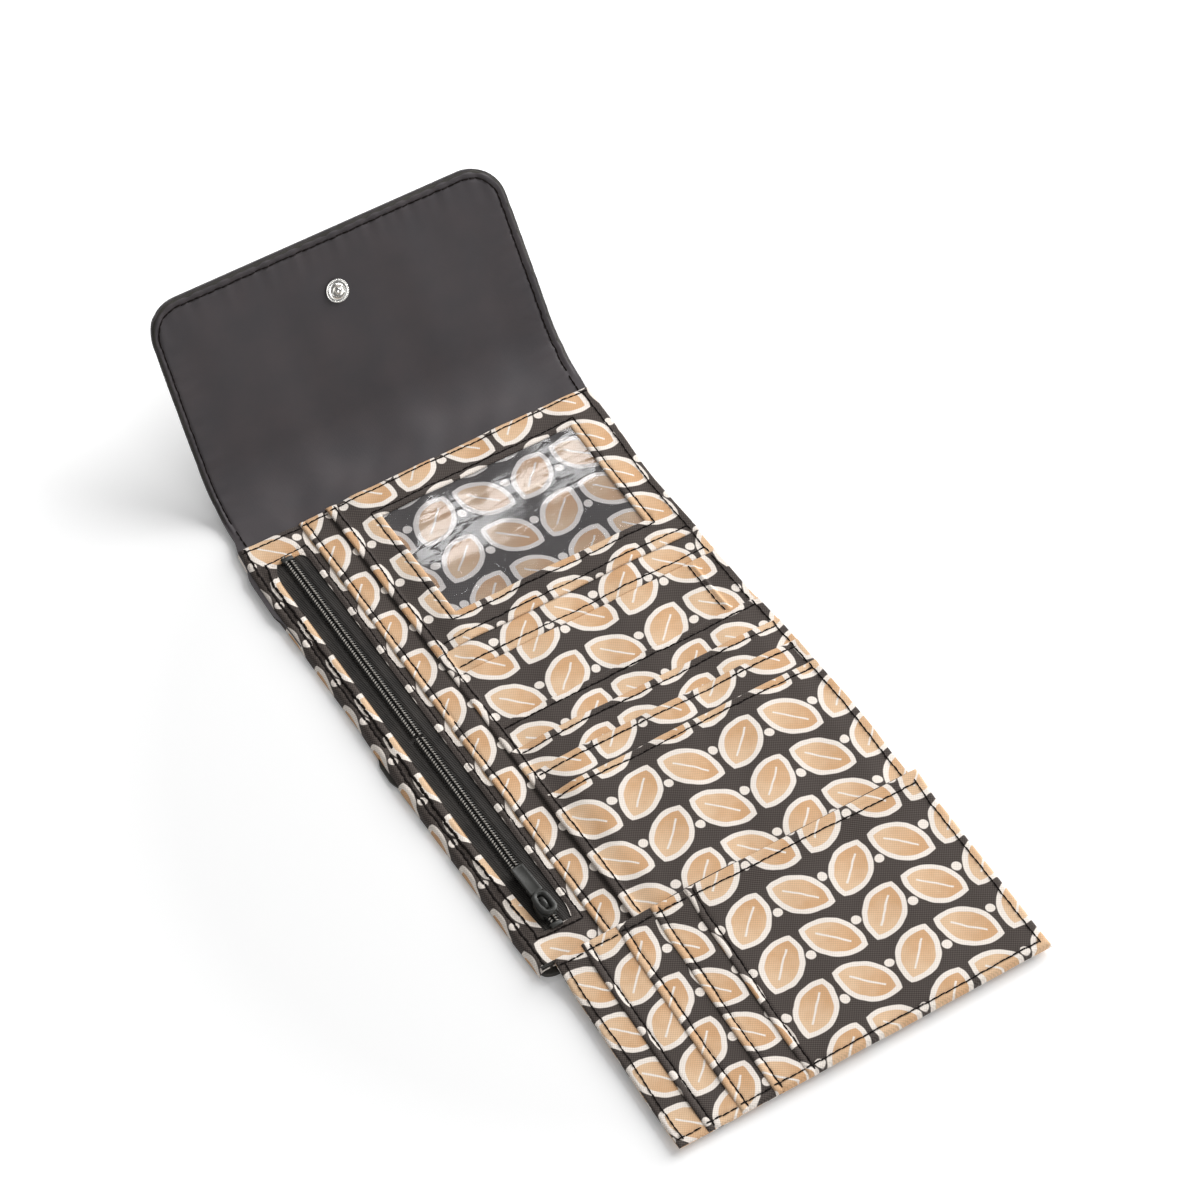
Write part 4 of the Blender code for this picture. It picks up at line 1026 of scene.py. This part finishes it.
def leafRow(lean, surface, *line):
    path = straight(*line)
    return np.stack([path[:, 0] + leanBy(lean, path[:, 0], path[:, 1]), path[:, 1]], axis=-1), leafSurface(surface)


leafEdges = (leaf["left"],) + leaf["slots"]
leafRows = [leafRow(0, 1, leaf["left"] + 2.6, 206.5, leaf["left"] + 2.6, 280.2),
            leafRow(4, 5, 142.3, 206.5, 142.3, 280.2), leafRow(4, 5, 53.5, 206.8, 142.3, 207.8),
            leafRow(4, 5, 53.5, 279.6, 142.3, 279.6, 2)]
for index in range(4):
    row = leafEdges[index + 1] + leaf["stitchIn"]
    leafRows += [leafRow(index + 1, index + 2, row, 204.5, row, 281.2, index),
                 leafRow(index, index + 1, leafEdges[index] + 0.6, 206.2, leafEdges[index + 1] - 0.6, 206.3),
                 leafRow(index, index + 1, leafEdges[index] + 0.8, 279.5, leafEdges[index + 1] - 0.6, 279.5)]

flapPath = flapStitchPath(lining["stitchIn"])
flapRows = [(flapPath[flapPath[:, 1] < wallet["seamCut"]], liningTop)]
for part, rows, slot in (("Upper", upperRows, "printed_twill"), ("Lower", lowerRows, "printed_twill"),
                         ("Flap", flapRows, "flap_lining"),
                         ("Seam", sewn(liningTop, (3.3, -9.5, 3.3, -1), (138.7, -9.5, 138.7, -1)), "flap_lining")):
    stitches = sewRows("stitches" + part, rows)
    follow(stitches, part)
    dress(stitches, slot)
stitches = sewRows("stitchesLeaf", leafRows, still=True)
followLeaf(stitches)
dress(stitches, "printed_twill")
print("stitches: pockets, flap, leaf")


# the zip: tapes, coil, stops
def layTeeth(name, low, high):  # turns of the coil as seen from above: thick bars across, rounded over at the middle
    points, faces = modelRod(8, 0.32, 0.5, 0.22)
    p, copies = zipParts, []
    along, across = points[:, 0] * p["toothLong"], points[:, 1] * p["toothThick"]
    for side in (-1, 1):
        for index in range(int((high - low) / p["pitch"])):
            x = p["centre"] + side * 1.08 + along * math.cos(p["toothTilt"])
            s = low + (index + 0.5 + 0.25 * side) * p["pitch"] + across + along * math.sin(p["toothTilt"] * side)
            inner = 1 - smooth(np.abs(x - p["centre"] - side * 0.75) / 1.5)  # high where the two rows meet
            copies.append(place(x, s, p["coilBase"] + 0.35 + 0.55 * inner + points[:, 2] * 0.95))
    return joinCopies(name, np.stack(copies), faces, "coil")


def tapeTop(x, s):
    near = np.abs(x - zipParts["centre"])
    rib = 0.16 * ridge(near, 3.5, 0.6) - 0.2 * ridge(near, 2.7, 0.35)
    return zipParts["tapeTop"] - 0.05 + rib - 0.2 * smooth((2.4 - near) / 1.2)


tapeEdges = dict(Left=(zipSlot["left"] - 1.8, zipParts["centre"]), Right=(zipParts["centre"], zipSlot["right"] + 1.8))
zipEnds = dict(Upper=((8.2, wallet["spineMiddle"]), (11.0, wallet["spineMiddle"])),
               Lower=((wallet["spineMiddle"], 194.8), (wallet["spineMiddle"], 192.0)))
for part, (tapeSpan, coilSpan) in zipEnds.items():
    stretches = ("upper", "spine") if part == "Upper" else ("lower",)
    for side, edges in tapeEdges.items():
        tape = clothPiece("zipTape" + side + part, meshLines(*edges, 0.5), meshLines(*tapeSpan, 2.0), tapeTop,
                          finish="tape")
        dress(tape, "zip_tape", *("zip_tape_%s_%s" % (side.lower(), stretch) for stretch in stretches))
        follow(tape, part)
    teeth = layTeeth("zipCoil" + part, *coilSpan)
    dress(teeth, "nylon_coil", *("zip_coil_" + stretch for stretch in stretches))
    follow(teeth, part)
print("zip: tapes and coil")


# hard parts, shaped from a block or a disc
def startBlock(name, size, bevel, segments=3, cuts=0):
    clearSelection()
    bpy.ops.mesh.primitive_cube_add(size=1)
    piece = bpy.context.object
    piece.name = piece.data.name = name
    piece.scale = size
    bpy.ops.object.transform_apply(location=False, rotation=False, scale=True)
    bpy.ops.object.mode_set(mode="EDIT")
    bpy.ops.mesh.select_all(action="SELECT")
    bpy.ops.mesh.bevel(offset=bevel, segments=segments, affect="EDGES")
    if cuts:
        bpy.ops.mesh.select_all(action="SELECT")
        bpy.ops.mesh.subdivide(number_cuts=cuts)
    bpy.ops.object.mode_set(mode="OBJECT")
    return piece


def moveMesh(piece, matrix):  # the place goes into the mesh; the object stays at the origin
    piece.data.transform(matrix)
    piece.data.update()


def layoutFrame(x, s, h=0.0):  # a matrix in metres standing on the flat layout
    return Matrix.Translation(((x - half) / 1000, (wallet["seamY"] - s) / 1000, h / 1000)) @ toMetres


def flapFrame(x, s, h):  # the same on the flap's plane
    tilt = math.radians(wallet["flapTilt"])
    return Matrix.Translation(Vector(place(x, s, h))) @ Matrix.Rotation(tilt, 4, "X") @ toMetres


def finishHard(piece, matrix, finish, slot, body, node):
    moveMesh(piece, matrix)
    clearSelection()
    piece.select_set(True)
    bpy.context.view_layer.objects.active = piece
    bpy.ops.object.shade_smooth_by_angle(angle=math.radians(35))
    piece.data.materials.clear()
    piece.data.materials.append(finishes[finish])
    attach(piece, body)
    dress(piece, slot, node)


slider = dict(length=9.6, rear=6.6, nose=4.6, thick=0.8, plates=(("zipSlider", 5.45), ("sliderUnder", 3.55)),
              flange=(0.7, 5.952, 1.2), flangeAt=(2.85, -1.344, 4.75), bridgeFoot=5.9, bridgeTop=8.1, bridgeLong=5.2,
              bridgeWide=1.5, loop=2.0, bar=0.42, centreS=183.0)


def makeSlider():
    d = slider
    parts = []
    for name, height in d["plates"]:
        plate = startBlock(name, (d["rear"], d["length"], d["thick"]), 0.3, cuts=9)
        points = readPoints(plate.data)
        ends = np.clip((np.abs(points[:, 1]) * 2 / d["length"] - 0.35) / 0.65, 0, 1)
        near = smooth((points[:, 1] / d["length"] + 0.5 - 0.35) / 0.65)
        points[:, 0] *= np.sqrt(1 - 0.84 * ends ** 2.4)  # rounded ends
        points[:, 0] *= 1 - (1 - d["nose"] / d["rear"]) * near
        points[:, 2] += height - 0.25 * smooth((np.abs(points[:, 0]) - 2.2) / 1.4)
        writePoints(plate.data, points)
        parts.append(plate)
    aside, along, height = d["flangeAt"]
    for side in (-1, 1):  # the side flanges that hold the coil
        flange = startBlock("sliderFlange", d["flange"], 0.22, 2)
        moveMesh(flange, Matrix.Translation((side * aside, along, height)))
        parts.append(flange)
    clearSelection()
    bpy.ops.mesh.primitive_torus_add(major_segments=28, minor_segments=10, major_radius=d["loop"],
                                     minor_radius=d["bar"], rotation=(0, math.pi / 2, 0))
    bridge = bpy.context.object
    bpy.ops.object.transform_apply(location=False, rotation=True, scale=False)
    bpy.ops.object.mode_set(mode="EDIT")
    bpy.ops.mesh.select_all(action="SELECT")
    bpy.ops.mesh.bisect(plane_co=(0, 0, -0.3), plane_no=(0, 0, 1), clear_inner=True, use_fill=True)
    bpy.ops.object.mode_set(mode="OBJECT")
    outer = d["loop"] + d["bar"]
    points = readPoints(bridge.data)
    points *= (d["bridgeWide"] / (2 * d["bar"]), d["bridgeLong"] / (2 * outer), 1)
    points[:, 2] = d["bridgeFoot"] + (points[:, 2] + 0.3) * (d["bridgeTop"] - d["bridgeFoot"]) / (outer + 0.3)
    writePoints(bridge.data, points)
    finishHard(joinPieces(*parts, bridge), layoutFrame(zipParts["centre"], d["centreS"]), "paint",
               "painted_zip_metal", "zip_slider", "slider")


pull = dict(length=12.6, width=4.9, thick=1.0, tipS=166.0, loopWide=2.25, bar=1.0, loopHalf=5.3, high=6.9, flatten=0.62,
            tilt=-2.0, yaw=1.5, aside=0.3)


def makePull():
    d = pull
    tab = startBlock("zipPull", (d["width"], d["length"], d["thick"]), 0.34, 4)
    bpy.ops.object.mode_set(mode="EDIT")
    bpy.ops.mesh.select_mode(type="FACE")
    for facing in (1, -1):  # a shallow panel on both faces
        bpy.ops.mesh.select_all(action="DESELECT")
        edit = bmesh.from_edit_mesh(tab.data)
        for face in edit.faces:
            face.select_set(face.normal.z * facing > 0.99 and face.calc_area() > 10)
        bmesh.update_edit_mesh(tab.data)
        bpy.ops.mesh.inset(thickness=0.4, depth=0)
        bpy.ops.mesh.inset(thickness=0.25, depth=-0.12)
    bpy.ops.object.mode_set(mode="OBJECT")
    moveMesh(tab, Matrix.Translation((0, slider["centreS"] - d["tipS"] - d["length"] / 2, 0)))
    clearSelection()
    bpy.ops.mesh.primitive_torus_add(major_segments=48, minor_segments=12, major_radius=d["loopWide"],
                                     minor_radius=d["bar"])
    loop = bpy.context.object
    points = readPoints(loop.data)
    stretch = d["loopHalf"] - d["loopWide"] - d["bar"]
    points[:, 1] += np.sign(points[:, 1]) * stretch * smooth(np.abs(points[:, 1]) / 0.9)
    points[:, 2] *= d["flatten"]
    points[:, 0] *= 1 - 0.2 * smooth((points[:, 1] - 2.4) / 3.2)  # the loop runs into the tab
    writePoints(loop.data, points)
    turned = Matrix.Rotation(math.radians(d["yaw"]), 4, "Z") @ Matrix.Rotation(math.radians(d["tilt"]), 4, "X")
    frameAt = layoutFrame(zipParts["centre"] + d["aside"], slider["centreS"], d["high"])
    finishHard(joinPieces(tab, loop), frameAt @ turned, "paint", "painted_zip_metal", "zip_pull", "pull_tab")


def makeStop(name, node, body, s):
    stop = startBlock(name, (4.4, 1.8, 1.5), 0.4, cuts=1)
    points = readPoints(stop.data)
    points[:, 2] -= 0.18 * (points[:, 0] / 2.2) ** 2  # pinched over the coil
    writePoints(stop.data, points)
    finishHard(stop, layoutFrame(zipParts["centre"], s, 4.3), "paint", "painted_zip_metal", body, node)


makeSlider()
makePull()
makeStop("zipStopTop", "zip_stop_top", "upper_half", 12.6)
makeStop("zipStopBottom", "zip_stop_bottom", "lower_half", 191.0)
print("zip: slider, pull and stops")

# the snap: stud on the lining, cap outside, socket in the lower half's cover, each turned from (radius, height)
snap = dict(x=71.0, s=-76.2, socketS=149.5, studHigh=2.75, capHigh=-0.25, beadRing=3.9, beadHigh=0.4, beadSize=0.27,
            beads=40,
            stud=[(0, -0.1), (4.3, -0.1), (4.4, 0.1), (4.3, 0.35), (4.05, 0.42), (3.6, 0.3), (3.1, 0.3), (2.75, 0.45),
                  (2.5, 0.9), (2.3, 1.0), (2.05, 0.9), (1.95, 0.5), (1.5, 0.42), (1.3, 0.7), (1.15, 1.25), (0.9, 1.5),
                  (0.5, 1.62), (0, 1.65)],
            cap=[(0, 0.9), (1.6, 0.86), (3.0, 0.72), (4.2, 0.46), (4.8, 0.16), (5.0, -0.12), (4.75, -0.3), (0, -0.3)],
            socket=[(0, 1.1), (1.55, 1.1), (1.7, 0.5), (1.85, 0.15), (2.2, 0.02), (2.7, 0.06), (3.0, 0.22), (3.5, 0.3),
                    (4.0, 0.2), (4.35, 0.32), (4.35, 0.7), (4.1, 1.35), (0, 1.35)])


def spinProfile(name, profile):
    piece = startMesh(name, [(r, 0, z) for r, z in profile], [(i, i + 1) for i in range(len(profile) - 1)], [])
    bpy.ops.mesh.spin(steps=48, angle=2 * math.pi, center=(0, 0, 0), axis=(0, 0, 1))
    bpy.ops.mesh.select_all(action="SELECT")
    bpy.ops.mesh.remove_doubles(threshold=0.001)
    bpy.ops.mesh.normals_make_consistent(inside=False)
    bpy.ops.object.mode_set(mode="OBJECT")
    return piece


beads = []
stud = spinProfile("snapStud", snap["stud"])
for angle in np.arange(snap["beads"]) * 2 * math.pi / snap["beads"]:
    clearSelection()
    bpy.ops.mesh.primitive_ico_sphere_add(subdivisions=1, radius=snap["beadSize"], location=(
        snap["beadRing"] * math.cos(angle), snap["beadRing"] * math.sin(angle), snap["beadHigh"]))
    bpy.ops.object.transform_apply(location=True, rotation=False, scale=False)
    beads.append(bpy.context.object)
finishHard(joinPieces(stud, *beads), flapFrame(snap["x"], snap["s"], snap["studHigh"]), "nickel", "nickel_snap", "flap",
           "snap_stud")
finishHard(spinProfile("snapCap", snap["cap"]),
           flapFrame(snap["x"], snap["s"], snap["capHigh"]) @ Matrix.Rotation(math.pi, 4, "X"), "nickel", "nickel_snap",
           "flap", "snap_cap")
finishHard(spinProfile("snapSocket", snap["socket"]), layoutFrame(snap["x"], snap["socketS"]), "nickel", "nickel_snap",
           "lower_half", "snap_socket")
print("snap: stud, cap, socket")


# quilting thread on the outside
def quiltUnder(x, s):
    return coverTop(x, s) - coverThick(x, s) - 0.1


def diamondRows(low, high):
    rows = []
    s = np.arange(low + 0.5, high - 0.4, 1.0)
    for slant in (-1, 1):
        for x in (k * cover["quiltPitch"] + slant * s for k in range(-12, 22)):
            keep = (x > 3) & (x < wide - 3) & (coverInside(x, s) > 2.5)
            if keep.sum() > 3:
                rows.append((np.stack([x[keep], s[keep]], axis=-1), quiltUnder))
    return rows


for part, (low, high) in spans.items():
    quilting = sewRows("quilting" + part, diamondRows(low, min(high, wallet["foldS"])),
                       dict(thread, rise=-0.05, wander=0.05))
    dress(quilting, "quilted_cover")
    follow(quilting, part)
print("quilting thread on the outside")
